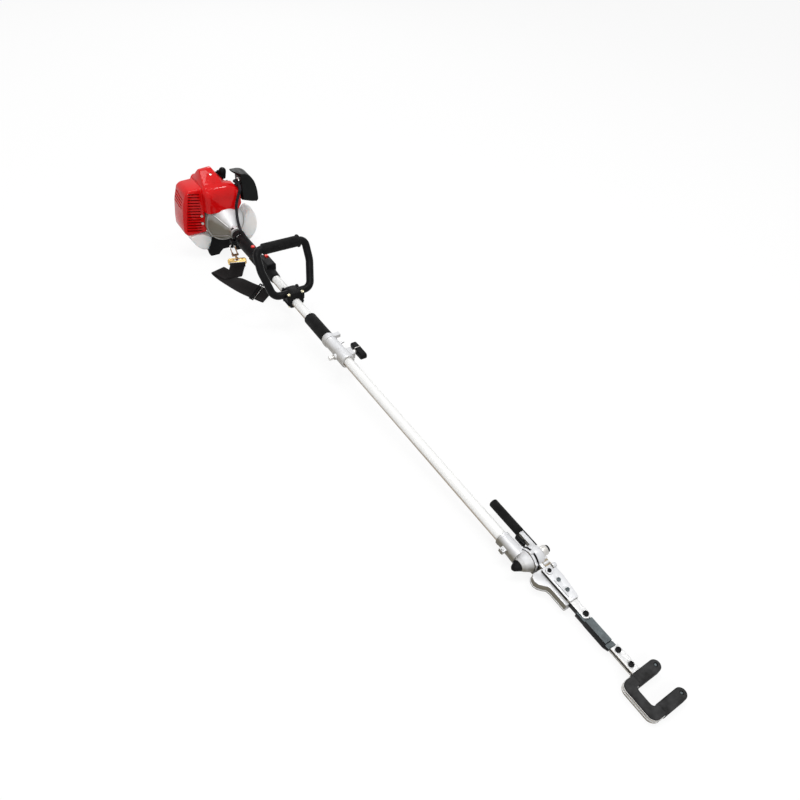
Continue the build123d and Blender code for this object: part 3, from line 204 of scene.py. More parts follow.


# Pale paint, with brown painted shade along its underside
def pole_coat():
    finish, shader = new_finish("pole_coat", metallic=0.1)
    shaded = painted_shade_share(finish, mottle(finish, 6.0, 4.0, 0.5, (0.4, 1.0, 1.0)))
    colour_between(finish, shader, shaded, (0.81, 0.81, 0.80), (0.34, 0.26, 0.17), 0.84, 1.04)
    gloss_between(finish, shader, mottle(finish, 130.0, 6.0, 0.6, (0.15, 1.0, 1.0)), 0.24, 0.4)
    relief(finish, shader, mottle(finish, 600.0, 3.0, 0.6, (0.1, 1.0, 1.0)), 0.00004, 0.4)
    return finish


# Woven bands over the strap's own map: ribs across its width, floats along it
def webbing_weave():
    finish, shader = new_finish("webbing_weave", specular=0.12, sheen=0.06)
    lie = coordinates(finish, source="UV")
    woven = add_node(finish, "ShaderNodeMath", operation="MULTIPLY")
    for number, (way, scale) in enumerate((("X", 7.0), ("Y", 60.0))):
        bands = add_node(finish, "ShaderNodeTexWave", wave_type="BANDS", bands_direction=way)
        bands.inputs["Scale"].default_value = scale
        wire(finish, lie, bands.inputs["Vector"])
        wire(finish, bands.outputs["Fac"], woven.inputs[number])
    weave = woven.outputs["Value"]
    colour_between(finish, shader, weave, (0.005, 0.004, 0.004), (0.015, 0.0135, 0.0135), 0.1, 0.9)
    gloss_between(finish, shader, weave, 0.78, 0.92)
    relief(finish, shader, weave, 0.0005, 0.8)
    return finish


# The second colour of each alloy is its painted shade
CAST_ALLOY = cast_alloy("cast_alloy", (0.14, 0.126, 0.094))
CLAMP_ALLOY = cast_alloy("clamp_alloy", (0.36, 0.345, 0.32))
POLE_COAT = pole_coat()
WEBBING_WEAVE = webbing_weave()
# Steel and milled alloy have marks drawn out along the pole
PLAIN_STEEL = varied_finish(
    "plain_steel", (26.0, 6.0, (0.52, 0.51, 0.49), (0.68, 0.67, 0.65)),
    (200.0, 6.0, 0.24, 0.42, 0.6, (1.0, 8.0, 8.0)), (900.0, 3.0, 0.00005, 0.4, 0.6, (1.0, 14.0, 14.0)),
    metallic=1.0)
MILLED_ALLOY = varied_finish(
    "milled_alloy", (30.0, 5.0, (0.66, 0.66, 0.66), (0.72, 0.72, 0.72)),
    (240.0, 5.0, 0.28, 0.46, 0.6, (1.0, 9.0, 9.0)), (500.0, 2.0, 0.00002, 0.2, 0.5, (1.0, 6.0, 6.0)),
    metallic=0.1)
PAD_RUBBER = varied_finish(
    "pad_rubber", (50.0, 6.0, (0.018, 0.018, 0.018), (0.040, 0.040, 0.041)), (180.0, 6.0, 0.55, 0.8),
    (700.0, 5.0, 0.0003, 0.6, 0.7), specular=0.08)
DEEP_BLACK, SOFT_BLACK = (0.003, 0.003, 0.0035), (0.007, 0.007, 0.0075)
RED_SHELL = varied_finish(
    "red_shell", (14.0, 3.0, (0.54, 0.002, 0.003), (0.64, 0.004, 0.005)), (60.0, 6.0, 0.14, 0.28),
    (150.0, 3.0, 0.00025, 0.4), specular=0.06, coat=0.32, coat_roughness=0.05)
# Painted shade: dark red for the sheet seen through the louvres
LOUVRE_SHADE_RED = varied_finish(
    "louvre_shade_red", (30.0, 5.0, (0.05, 0.002, 0.002), (0.14, 0.004, 0.004)), (160.0, 5.0, 0.5, 0.7),
    (300.0, 4.0, 0.0002, 0.5), specular=0.1)
RED_BUTTON = varied_finish(
    "red_button", (120.0, 3.0, (0.66, 0.020, 0.012), (0.78, 0.040, 0.026)), (500.0, 4.0, 0.25, 0.42),
    (900.0, 3.0, 0.00005, 0.3))
TANK_SHELL = varied_finish(
    "tank_shell", (9.0, 2.0, (0.92, 0.87, 0.86), (0.97, 0.95, 0.94)), (90.0, 5.0, 0.32, 0.5),
    (260.0, 3.0, 0.0001, 0.3), depth=0.85, depth_radius=(0.030, 0.026, 0.024), depth_scale=1.0)
BLACK_MOULDING = varied_finish(
    "black_moulding", (40.0, 5.0, DEEP_BLACK, SOFT_BLACK), (120.0, 6.0, 0.38, 0.56),
    (1500.0, 0, 0.00012, 0.5), specular=0.07)
# Smoother moulding with more sheen
FILTER_MOULDING = varied_finish(
    "filter_moulding", (30.0, 5.0, (0.002, 0.0025, 0.0025), (0.005, 0.006, 0.006)), (120.0, 6.0, 0.3, 0.46),
    (1500.0, 0, 0.0001, 0.4), specular=0.12)
BLACK_COAT = varied_finish(
    "black_coat", (30.0, 5.0, DEEP_BLACK, SOFT_BLACK), (200.0, 5.0, 0.28, 0.45),
    (800.0, 3.0, 0.00008, 0.4), specular=0.08)
BLOCK_COAT = varied_finish(
    "block_coat", (60.0, 6.0, (0.045, 0.056, 0.060), (0.090, 0.112, 0.120)), (220.0, 5.0, 0.4, 0.58),
    (1000.0, 4.0, 0.00015, 0.5))
FOAM_SLEEVE = varied_finish(
    "foam_sleeve", (60.0, 6.0, (0.004, 0.004, 0.004), (0.010, 0.010, 0.010)), (240.0, 5.0, 0.82, 0.96),
    (900.0, 0, 0.0004, 0.7), specular=0.07, sheen=0.08)
LOOM_SLEEVE = varied_finish(
    "loom_sleeve", (80.0, 5.0, (0.010, 0.010, 0.013), (0.022, 0.022, 0.026)), (300.0, 5.0, 0.4, 0.6),
    (1200.0, 3.0, 0.0001, 0.5), specular=0.08)
ZINC_YELLOW = varied_finish(
    "zinc_yellow", (120.0, 4.0, (0.62, 0.56, 0.36), (0.78, 0.74, 0.56)), (400.0, 4.0, 0.22, 0.4),
    (900.0, 3.0, 0.00005, 0.3), metallic=1.0)
WORN_BRASS = varied_finish(
    "worn_brass", (90.0, 6.0, (0.36, 0.22, 0.07), (0.66, 0.48, 0.20)), (260.0, 5.0, 0.26, 0.5),
    (700.0, 4.0, 0.0001, 0.4), metallic=1.0)
WORN_COPPER = varied_finish(
    "worn_copper", (110.0, 6.0, (0.12, 0.065, 0.035), (0.34, 0.19, 0.10)), (300.0, 5.0, 0.3, 0.5),
    (800.0, 4.0, 0.0001, 0.4), metallic=1.0)
# Brown, on sawn plate edges and as painted shade on the head's neck
BROWN_EDGE_AND_SHADE = varied_finish(
    "brown_edge_and_shade", (70.0, 6.0, (0.16, 0.12, 0.075), (0.42, 0.37, 0.28)), (300.0, 5.0, 0.45, 0.65),
    (900.0, 3.0, 0.0001, 0.4), metallic=0.3)

# Shape helpers, all in the tool's millimetres
CREASE = math.radians(32.0)
BACK_TO_TOOL = TOOL.inverted()
# Side the light falls from; faces turned away from it get painted shade
LIT_SIDE = TURN @ Vector((0.0, 0.65, 0.76)).normalized()


# Share of painted shade on each face, none where it looks up to the lit side and full where it looks away
def settle_painted_shade(data):
    share = data.attributes.new("painted_shade_share", "FLOAT", "FACE")
    for face in data.polygons:
        share.data[face.index].value = 0.5 - 0.5 * face.normal.dot(LIT_SIDE)


# Turn a finished mesh into the piece that stands for a CAD node and rides its body
def settle(mesh, name, finishes, node, crease=CREASE):
    data = bpy.data.meshes.new(name)
    mesh.transform(TOOL)
    mesh.to_mesh(data)
    mesh.free()
    data.shade_smooth()
    data.set_sharp_from_angle(angle=crease)
    # Painted shade share on each face, read by the alloy and pole finishes
    settle_painted_shade(data)
    for finish in finishes:
        data.materials.append(finish)
    piece = bpy.data.objects.new(name, data)
    bpy.context.scene.collection.objects.link(piece)
    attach(piece, BODY_OF[node])
    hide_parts(node)
    return piece


# Merged copy of a CAD solid
def solid_copy(node):
    mesh = bmesh.new()
    mesh.from_mesh(NODES[node].data)
    mesh.transform(BACK_TO_TOOL)
    bmesh.ops.remove_doubles(mesh, verts=mesh.verts, dist=0.001)
    bmesh.ops.dissolve_limit(mesh, angle_limit=math.radians(0.4), verts=mesh.verts, edges=mesh.edges)
    return mesh


def bevel(mesh, edges, width, segments, clamp=True):
    bmesh.ops.bevel(mesh, geom=edges, offset=width, offset_type="OFFSET", segments=segments, profile=0.5,
                    affect="EDGES", clamp_overlap=clamp, material=-1)


# Cut new edges into a mesh where a plane crosses it
def slice_at(mesh, at, square_to):
    bmesh.ops.bisect_plane(mesh, geom=mesh.verts[:] + mesh.edges[:] + mesh.faces[:], dist=0.001,
                           plane_co=at, plane_no=square_to)


def everywhere(middle):
    return True


# Round the sharp edges of a mesh whose middles pass a test, and draw stray corners back to its surface
def round_edges(mesh, width, segments=2, where=everywhere):
    surface = BVHTree.FromBMesh(mesh)
    chosen = []
    for edge in mesh.edges:
        middle = (edge.verts[0].co + edge.verts[1].co) / 2
        if edge.is_manifold and edge.calc_face_angle() > CREASE and where(middle):
            chosen.append(edge)
    bevel(mesh, chosen, width, segments, clamp=False)
    for vert in mesh.verts:
        spot, _, _, distance = surface.find_nearest(vert.co)
        if distance > 0.8 * width:
            vert.co = spot


def softened(node, finish, width):
    mesh = solid_copy(node)
    round_edges(mesh, width)
    return settle(mesh, node + "_finished", [finish], node)


# Rounded copy of a CAD solid in several finishes, each face numbered by a test on its middle
def many_toned(node, finishes, width, number_of):
    mesh = solid_copy(node)
    round_edges(mesh, width)
    for face in mesh.faces:
        face.material_index = int(number_of(face.calc_center_median()))
    return mesh, node + "_finished", finishes, node


def toned(node, finishes, width, number_of):
    return settle(*many_toned(node, finishes, width, number_of))


# Smooth a piece over its cage
def subdivide(piece):
    rounding = piece.modifiers.new("rounding", "SUBSURF")
    rounding.levels = 2
    rounding.render_levels = 2


# Spin an outline of (along, radius) points about the tool's X axis
def turned(outline, steps=48, closed=False):
    mesh = bmesh.new()
    verts = [mesh.verts.new((along, radius, 0.0)) for along, radius in outline]
    edges = [mesh.edges.new(pair) for pair in zip(verts, verts[1:])]
    if closed:
        edges.append(mesh.edges.new((verts[-1], verts[0])))
    bmesh.ops.spin(mesh, geom=verts + edges, cent=(0, 0, 0), axis=(1, 0, 0), angle=2 * math.pi, steps=steps,
                   use_merge=True)
    bmesh.ops.remove_doubles(mesh, verts=mesh.verts, dist=0.001)
    bmesh.ops.recalc_face_normals(mesh, faces=mesh.faces)
    return mesh


# Outline of corners drawn along a direction into a closed prism
def prism(corners, reach):
    mesh = bmesh.new()
    face = mesh.faces.new([mesh.verts.new(corner) for corner in corners])
    pulled = bmesh.ops.extrude_face_region(mesh, geom=[face])
    moved = [item for item in pulled["geom"] if isinstance(item, bmesh.types.BMVert)]
    bmesh.ops.translate(mesh, verts=moved, vec=reach)
    bmesh.ops.recalc_face_normals(mesh, faces=mesh.faces)
    return mesh


def crosswise(outline, x):
    return [(x, y, z) for y, z in outline]


# Corners of a flat outline, each turned into an arc
def rounded_corners(corners, radii, steps=8):
    points = []
    for number, (corner, radius) in enumerate(zip(corners, radii)):
        corner = Vector(corner)
        back = (Vector(corners[number - 1]) - corner).normalized()
        on = (Vector(corners[(number + 1) % len(corners)]) - corner).normalized()
        half = back.angle(on) / 2
        centre = corner + (back + on).normalized() * (radius / math.sin(half))
        first = corner + back * (radius / math.tan(half)) - centre
        last = corner + on * (radius / math.tan(half)) - centre
        sweep = first.angle_signed(last)
        for step in range(steps + 1):
            turn = Matrix.Rotation(-sweep * step / steps, 2)
            points.append(centre + turn @ first)
    return points


def in_plan(outline, z):
    return [(x, y, z) for x, y in outline]


# Closed solid through a row of sections that have the same number of points
def lofted(sections):
    mesh = bmesh.new()
    rings = []
    for section in sections:
        verts = [mesh.verts.new(point) for point in section]
        rings.append([mesh.edges.new(pair) for pair in zip(verts, verts[1:] + verts[:1])])
    for before, after in zip(rings, rings[1:]):
        bmesh.ops.bridge_loops(mesh, edges=before + after)
    for ring in (rings[0], rings[-1]):
        bmesh.ops.edgeloop_fill(mesh, edges=ring)
    bmesh.ops.recalc_face_normals(mesh, faces=mesh.faces)
    return mesh


# Block given by its centre, size and turn
def chunk(centre, size, turn=Matrix()):
    mesh = bmesh.new()
    shape = Matrix.Translation(centre) @ turn.to_4x4() @ Matrix.Diagonal((*size, 1.0))
    bmesh.ops.create_cube(mesh, size=1.0, matrix=shape)
    return mesh


# Turn from the tool's X axis to a direction
def from_x(along):
    return Vector((1, 0, 0)).rotation_difference(along).to_matrix().to_4x4()


# Round bar between two points, with rounded rims
def bar(start, end, radius, rim=0.6, steps=32):
    along = Vector(end) - Vector(start)
    reach = along.length
    bend = rim * 0.3
    mesh = turned([(0, 0), (0, radius - rim), (bend, radius - bend), (rim, radius), (reach - rim, radius),
                   (reach - bend, radius - bend), (reach, radius - rim), (reach, 0)], steps)
    mesh.transform(Matrix.Translation(start) @ from_x(along))
    return mesh


# Put several meshes into one
def joined(parts):
    whole = bmesh.new()
    for part in parts:
        holder = bpy.data.meshes.new("holder")
        part.to_mesh(holder)
        part.free()
        whole.from_mesh(holder)
        bpy.data.meshes.remove(holder)
    return whole


def numbered(mesh, number):
    for face in mesh.faces:
        face.material_index = number
    return mesh


# Put several meshes into one, each on its own finish number
def gathered(parts):
    return joined([numbered(part, number) for part, number in parts])


# Cut a cutter mesh out of a mesh
def carved(mesh, cutter):
    stand_ins = []
    for shape, name in ((mesh, "carved"), (cutter, "cutter")):
        data = bpy.data.meshes.new(name)
        shape.to_mesh(data)
        shape.free()
        stand_in = bpy.data.objects.new(name, data)
        bpy.context.scene.collection.objects.link(stand_in)
        stand_ins.append(stand_in)
    cut = stand_ins[0].modifiers.new("cut", "BOOLEAN")
    cut.operation = "DIFFERENCE"
    cut.solver = "EXACT"
    cut.object = stand_ins[1]
    settled = stand_ins[0].evaluated_get(bpy.context.evaluated_depsgraph_get()).to_mesh()
    result = bmesh.new()
    result.from_mesh(settled)
    for stand_in in stand_ins:
        data = stand_in.data
        bpy.data.objects.remove(stand_in)
        bpy.data.meshes.remove(data)
    bmesh.ops.remove_doubles(result, verts=result.verts, dist=0.001)
    return result


# Red shroud: a shell through a row of sections, humped over the cylinder and rolled over at the front
SHROUD_HUMP = [(-194.0, 0.0), (-186.0, 0.02), (-158.0, 1.0), (-143.0, 1.0), (-101.0, 0.06)]
SHROUD_BENDS = [1.0, 6.0, 4.0, 5.0, 5.0, 9.0, 10.0, 10.0, 6.0, 1.0]
SHROUD_MIDDLE = Vector((-133.0, -4.0, 30.0))
SHROUD_SHRINK = Matrix.Diagonal((0.957, 0.958, 0.9805, 1.0))
ROLL_X, ROLL_REACH, ROLL_DROP = -98.0, 26.0, 40.0
FAN_R = 66.0
CYLINDER_X = -160.0
PLUG_FOOT = (-150.0, 17.0, 98.0)
PLUG_HEAD = (-150.0, 33.5, 164.0)
HUMP_SCREW = Vector((-126.0, -20.5, 150.4))
SLOPE_OUT = Vector((35.0, 0.0, 47.0)).normalized()


# Section where the hump stands at a share of its height, and the roof and left wall are rolled in by a share
def shroud_section(x, share, rolled=0.0):
    drop = ROLL_DROP * rolled
    hump_left, hump_right = -55.0 + 5.0 * share + 13.0 * rolled, 4.0 - 14.0 * share
    hump_top = 128.4 + 34.6 * share - drop
    left = -66.0 + 15.0 * rolled
    right = 58.0 - 8.0 * rolled
    corners = [(left, 46), (left, 113 - drop), (left + 4.5, 123 - drop), (hump_left, hump_top - 4 * share),
               (hump_right, hump_top), (15, 128 - drop), (40 - 4 * rolled, 121 - drop),
               (right - 2, 103 - 0.5 * drop), (right, 62), (46 - 4 * rolled, 46)]
    return crosswise(rounded_corners(corners, SHROUD_BENDS, 5), x)


def shroud_solid():
    sections = [shroud_section(x, share) for x, share in SHROUD_HUMP]
    for turn in (8, 24, 40, 56, 70, 84):
        angle = math.radians(turn)
        sections.append(shroud_section(ROLL_X + ROLL_REACH * math.sin(angle), 0.0, 1.0 - math.cos(angle)))
    return lofted(sections)


def shroud_shell():
    hollow = shroud_solid()
    hollow.transform(Matrix.Translation(SHROUD_MIDDLE) @ SHROUD_SHRINK @ Matrix.Translation(-SHROUD_MIDDLE))
    mesh = shroud_solid()
    folds = [edge for edge in mesh.edges if edge.is_manifold and edge.calc_face_angle() > math.radians(9)
             and abs(edge.verts[0].co.x - edge.verts[1].co.x) < 0.01 and -190 < edge.verts[0].co.x < -100]
    bevel(mesh, folds, 2.6, 3)
    fan_room = turned([(-210, 0), (-210, FAN_R + 1.5), (-86, FAN_R + 1.5), (-86, 61.5), (-60, 45), (-60, 0)])
    intake_side = chunk((-160.0, 60.0, 90.0), (84.0, 88.0, 110.0))
    plug_hole = bar(PLUG_FOOT, PLUG_HEAD, 15.0)
    exhaust_hole = bar((CYLINDER_X, -75.0, 76.0), (CYLINDER_X, -45.0, 76.0), 19.0)
    recess = bar(HUMP_SCREW - SLOPE_OUT * 1.9, HUMP_SCREW + SLOPE_OUT * 8, 5.6)
    for cutter in (hollow, fan_room, intake_side, plug_hole, exhaust_hole, recess):
        mesh = carved(mesh, cutter)
    head = bar(HUMP_SCREW - SLOPE_OUT * 4, HUMP_SCREW - SLOPE_OUT * 0.6, 4.0, 1.2)
    mesh = gathered([(mesh, 0), (head, 1)])
    return settle(mesh, "cylinder_shroud_shell", [RED_SHELL, PLAIN_STEEL], "cylinder_shroud")


# Red muffler guard: a deep box open to the engine, its front cut through with louvres
GUARD = [(-63.5, -30), (-63.5, 122), (-105, 119), (-117.5, 110), (-129.5, 66), (-135, 8), (-135, -20),
         (-124, -32.5)]
GUARD_BACK, GUARD_FRONT = -184.0, -100.0
LOUVRES = 14
LOUVRE_PITCH = 9.5
LOUVRE_TOP = 107.0
LOUVRE_LEAN = Matrix.Rotation(math.radians(-11), 3, "X")
SIDE_LOUVRES = 4
SIDE_LEAN = Matrix.Rotation(math.radians(8), 3, "Y")
GUARD_WALL = 2.8
# Sheet behind the louvres, dark red as painted shade seen through the slots
LOUVRE_SHADE_SHEET = [(-68, -25), (-68, 112), (-107, 110), (-126, -22)]


def engine_side(mesh):
    return [face for face in mesh.faces if face.calc_center_median().y > -64.0 and abs(face.normal.y) > 0.9]


def guard_box():
    mesh = prism(crosswise(GUARD, GUARD_BACK), (GUARD_FRONT - GUARD_BACK, 0, 0))
    open_side = engine_side(mesh)
    closed = [edge for edge in mesh.edges if not any(face in open_side for face in edge.link_faces)]
    bevel(mesh, closed, 6.0, 4)
    bmesh.ops.delete(mesh, geom=engine_side(mesh), context="FACES")
    bmesh.ops.recalc_face_normals(mesh, faces=mesh.faces)
    bmesh.ops.solidify(mesh, geom=mesh.faces, thickness=GUARD_WALL)
    slots = []
    for slot in range(LOUVRES):
        left, right = -109.0 - 1.3 * slot, -72.5 - 0.25 * slot
        centre = (GUARD_FRONT, (left + right) / 2, LOUVRE_TOP - LOUVRE_PITCH * slot)
        slots.append(chunk(centre, (12.0, right - left, 3.6), LOUVRE_LEAN))
    for slot in range(SIDE_LOUVRES):
        slots.append(chunk((-146.0, -125.0, 92.0 - 10 * slot), (60.0, 40.0, 4.6), SIDE_LEAN))
    mesh = carved(mesh, joined(slots))
    # Dark red sheet inside the guard, painted shade behind the slots
    louvre_shade_sheet = prism(crosswise(LOUVRE_SHADE_SHEET, GUARD_FRONT - 7.0), (1.2, 0, 0))
    mesh = gathered([(mesh, 0), (louvre_shade_sheet, 1)])
    return settle(mesh, "muffler_guard", [RED_SHELL, LOUVRE_SHADE_RED], "muffler_cover")


# Clutch housing: spun bell with a flanged foot and four cast webs
NECK_BORE = 13.1
BELL = [(-96, 43), (-96, 64.8), (-94.8, 66), (-89.2, 66), (-88, 64.8), (-88, 61.2), (-86.5, 60), (-80, 57.2),
        (-68, 50.4), (-54, 41.2), (-40, 31.6), (-31, 25.2), (-26, 22.2), (-22, 20.2), (-18, 19.5),
        (-1.2, 19.5), (0, 18.3), (0, NECK_BORE), (-42, NECK_BORE), (-42, 8.05), (-63, 8.05), (-63, 42),
        (-80, 42)]
NECK_RING = [(-3.2, 19.0), (-3.2, 20.4), (-2.6, 21.0), (0.8, 21.0), (1.4, 20.4), (1.4, 13.2), (-1, 13.2)]
WEB = [(-88, 46), (-88, 65), (-84, 64.2), (-74, 57.5), (-27, 27), (-23.5, 23), (-23.5, 15)]
SLOT_TURN = Matrix.Rotation(math.radians(30), 3, "X")


def clutch_bell():
    slot = chunk(SLOT_TURN @ Vector((-10.0, 0.0, 19.0)), (11.0, 9.0, 7.6), SLOT_TURN)
    # Black plate at the slot's floor as painted shade
    slot_shade = chunk(SLOT_TURN @ Vector((-10.0, 0.0, 15.4)), (11.4, 9.4, 1.2), SLOT_TURN)
    bolt = bar((-6.0, 4.5, 16.0), (-6.0, 6.5, 24.0), 4.2, 1.0)
    ring = turned(NECK_RING, 64, closed=True)
    parts = [(carved(turned(BELL, 96, closed=True), slot), 0), (slot_shade, 1), (bolt, 2), (ring, 0)]
    for lean in (-131, -49, 49, 131):
        web = prism([(x, -2.2, z) for x, z in WEB], (0, 4.4, 0))
        round_edges(web, 1.4, 3)
        web.transform(Matrix.Rotation(math.radians(lean), 4, "X"))
        parts.append((web, 0))
    return settle(gathered(parts), "clutch_bell", [CAST_ALLOY, BLACK_COAT, PLAIN_STEEL], "clutch_housing")


# Blow-moulded fuel tank with its parting ridge, cut into strips so that its hollow side rounds evenly
TANK = [(-70, -37), (-112, -34), (-118.5, -42), (-111, -59), (-100, -78.5), (-84, -93), (-56, -99), (76, -99),
        (94, -90), (112.5, -66), (119.5, -36), (109, 8), (98, 17.5), (82, 12), (72, -10), (60, -43),
        (41, -60.5), (0, -73), (-41, -60.5)]
TANK_BACK, TANK_FRONT = -156.0, -101.0
TANK_STRIPS = [-84, -56, -41, 0, 41, 60, 72, 82, 98]
RIDGE_HALF, RIDGE_RISE = 1.4, 1.6
CAP_Y, CAP_Z = 92.0, -34.0


def tank_body():
    mesh = prism(crosswise(TANK, TANK_BACK), (TANK_FRONT - TANK_BACK, 0, 0))
    ends = [face for face in mesh.faces if abs(face.normal.x) > 0.9]
    bmesh.ops.inset_individual(mesh, faces=ends, thickness=5.0, depth=0.0, use_even_offset=True)
    for y in TANK_STRIPS:
        slice_at(mesh, (0, y, 0), (0, 1, 0))
    middle = (TANK_BACK + TANK_FRONT) / 2
    for side in (-RIDGE_HALF, 0.0, RIDGE_HALF):
        slice_at(mesh, (middle + side, 0, 0), (1, 0, 0))
    for vert in mesh.verts:
        if abs(vert.co.x - middle) < 0.1:
            vert.co += Vector((0, vert.normal.y, vert.normal.z)) * RIDGE_RISE
    neck = bar((TANK_BACK + 4, CAP_Y, CAP_Z), (TANK_BACK - 10, CAP_Y, CAP_Z), 13.0)
    mesh = joined([mesh, neck])
    piece = settle(mesh, "fuel_tank_body", [TANK_SHELL], "fuel_tank", crease=math.radians(60))
    subdivide(piece)
    return piece


# Air filter cover, open at the back, with its lip cut away towards the front
AIR = [(61, 67), (100, 54), (118, 54), (116, 90), (108, 122), (92, 146), (72, 155), (44, 155), (44, 151.5),
       (61, 146)]
AIR_POCKET = [(64, 70), (100.5, 57.5), (115, 57), (113, 89), (105, 120), (89.5, 142.5), (71, 150.5),
              (64, 147)]
AIR_LIP = [(-126, 40, 147), (-78, 40, 147), (-78, 62, 147)]
AIR_BACK, AIR_FRONT = -130.0, -80.0


def air_cover():
    mesh = prism(crosswise(AIR, AIR_BACK), (AIR_FRONT - AIR_BACK, 0, 0))
    long_edges = [edge for edge in mesh.edges if abs(edge.verts[0].co.x - edge.verts[1].co.x) > 1.0
                  and edge.verts[0].co.y > 64.0]
    bevel(mesh, long_edges, 9.0, 5)
    rim = [edge for edge in mesh.edges
           if all(abs(vert.co.x - AIR_FRONT) < 0.01 and vert.co.y > 60.5 for vert in edge.verts)]
    bevel(mesh, rim, 4.6, 5, clamp=False)
    mesh = carved(mesh, prism(crosswise(AIR_POCKET, AIR_BACK - 2), (AIR_FRONT - AIR_BACK - 2, 0, 0)))
    mesh = carved(mesh, prism(AIR_LIP, (0, 0, 13)))
    clip = bar((-98, 54, 137), (-98, 62, 137), 4.6, 0.8)
    tail = bar((-98, 58, 137), (-90, 58, 129), 2.6, 0.8)
    mesh = gathered([(mesh, 0), (clip, 1), (tail, 1)])
    return settle(mesh, "air_filter_cover_shell", [FILTER_MOULDING, PLAIN_STEEL], "air_filter_cover")


# Spark plug cap: tapered body with a domed top and the boot of its lead
PLUG_CAP = [(25, 4.1), (25, 12.4), (26, 13), (33, 12.8), (34, 12), (36, 12), (37, 12.4), (48, 11.4),
            (53, 9.4), (56, 6), (57, 0), (42, 0), (42, 4.1)]


def plug_boot():
    axis = Vector(PLUG_HEAD) - Vector(PLUG_FOOT)
    body = turned(PLUG_CAP, 40)
    body.transform(Matrix.Translation(PLUG_FOOT) @ from_x(axis))
    boot = bar((-152.0, 27.0, 139.0), (-161.0, 14.0, 135.5), 6.6, 2.0)
    lead = bar((-160.0, 15.0, 135.8), (-168.0, 6.0, 132.5), 3.4, 0.8)
    return settle(joined([body, boot, lead]), "plug_boot", [BLACK_MOULDING], "plug_cap")


# Pull grip of the starter, with rope enough to reach back past the pulley
PULLEY_X, ROPE_Z = -222.0, 22.0
ROPE_END_Y, ROPE_R = -34.0, 1.6
GRIP_FACE_Y = 62.0


def pull_grip():
    mesh = solid_copy("starter_grip")
    round_edges(mesh, 0.6)
    for face in mesh.faces:
        face.material_index = 1 if face.calc_center_median().y < GRIP_FACE_Y else 0
    rope = bar((PULLEY_X, ROPE_END_Y, ROPE_Z), (PULLEY_X, GRIP_FACE_Y, ROPE_Z), ROPE_R, 0.3)
    mesh = joined([mesh, numbered(rope, 1)])
    return settle(mesh, "pull_grip_handle", [BLACK_MOULDING, LOOM_SLEEVE], "starter_grip")


# Handle clamp: saddle with four screw bosses and a socket for each foot of the loop, and its keeper
CLAMP_X, CLAMP_HALF = 393.0, 20.5
CLAMP_BOSS = 28.0
CLAMP_SCREW_X, CLAMP_SCREW_Y = 17.0, 21.0
SOCKET_X, SOCKET_Z = CLAMP_X - 1.3, 21.7
SCREW_SINK = 8.0
CLAMP_SADDLE = [(-24, 0.4), (-26, 8), (-26, 23), (-19, 30), (-9, 33), (9, 33), (19, 30), (26, 23), (26, 8),
                (24, 0.4)]
CLAMP_KEEPER = [(-26, -0.4), (-26, -5), (-15, -17), (15, -17), (26, -5), (26, -0.4)]
TUBE_R = 13.0
LOOP_R = 11.0


def off_the_joint(middle):
    return abs(middle.z) > 0.5


def tube_bore():
    return bar((CLAMP_X - 40, 0, 0), (CLAMP_X + 40, 0, 0), TUBE_R + 0.1, steps=48)


def clamp_saddle():
    mesh = prism(crosswise(CLAMP_SADDLE, CLAMP_X - CLAMP_HALF), (2 * CLAMP_HALF, 0, 0))
    round_edges(mesh, 3.6, 4, off_the_joint)
    mesh = carved(mesh, tube_bore())
    bosses = []
    for side in (-1, 1):
        socket = bar((SOCKET_X, side * 13, SOCKET_Z), (SOCKET_X, side * 34, SOCKET_Z), LOOP_R + 0.1)
        mesh = carved(mesh, socket)
        y = side * CLAMP_SCREW_Y
        for x in (CLAMP_X - CLAMP_SCREW_X, CLAMP_X + CLAMP_SCREW_X):
            bosses.append(bar((x, y, 8), (x, y, CLAMP_BOSS), 6.2, 1.4))
    return settle(joined([mesh] + bosses), "clamp_saddle", [BLACK_MOULDING], "handle_clamp_upper")


def clamp_keeper():
    mesh = prism(crosswise(CLAMP_KEEPER, CLAMP_X - CLAMP_HALF), (2 * CLAMP_HALF, 0, 0))
    round_edges(mesh, 3.6, 4, off_the_joint)
    return settle(carved(mesh, tube_bore()), "clamp_keeper", [BLACK_MOULDING], "handle_clamp_lower")


# Coupling knob: threaded stem, collar and a wing with full round ends
KNOB_X = 678.0
WING_Y = 47.0


def clamp_wing():
    wing = chunk((KNOB_X, WING_Y, 0.0), (64.0, 18.0, 19.0))
    slice_at(wing, (KNOB_X - 4, 0, 0), (1, 0, 0))
    for vert in wing.verts:
        if vert.co.x < KNOB_X - 10:
            vert.co.y += 3.0 if vert.co.y < WING_Y else 0.0
            vert.co.z *= 0.86
        elif vert.co.x > KNOB_X + 10:
            vert.co.z *= 0.92
    corners = [edge for edge in wing.edges if abs(edge.verts[0].co.x - edge.verts[1].co.x) < 0.1
               and abs(edge.verts[0].co.x - KNOB_X) > 10]
    upright = [edge for edge in corners if abs(edge.verts[0].co.y - edge.verts[1].co.y) > 1.0]
    bevel(wing, upright, 7.6, 6)
    round_edges(wing, 2.6, 4)
    insert = chunk((KNOB_X - 4, WING_Y, 0.0), (2.2, 18.7, 19.7))
    round_edges(insert, 0.7)
    collar = bar((KNOB_X, 30.6, 0), (KNOB_X, 40, 0), 6.5, 0.8)
    stem = bar((KNOB_X, 17, 0), (KNOB_X, 32, 0), 4.0)
    parts = [(wing, 0), (insert, 1), (collar, 1), (stem, 1)]
    return settle(gathered(parts), "clamp_wing", [BLACK_MOULDING, PLAIN_STEEL], "clamp_knob")


# Head casting: the carried-over case with ribs over its neck, a brown plate on the neck and a black strip along
# its lever, both as painted shade
PIVOT_X = 1403.0
NECK_RIBS = [(1420, 33, 45.5), (1430, 27, 43)]
RIB_Z = 7.4


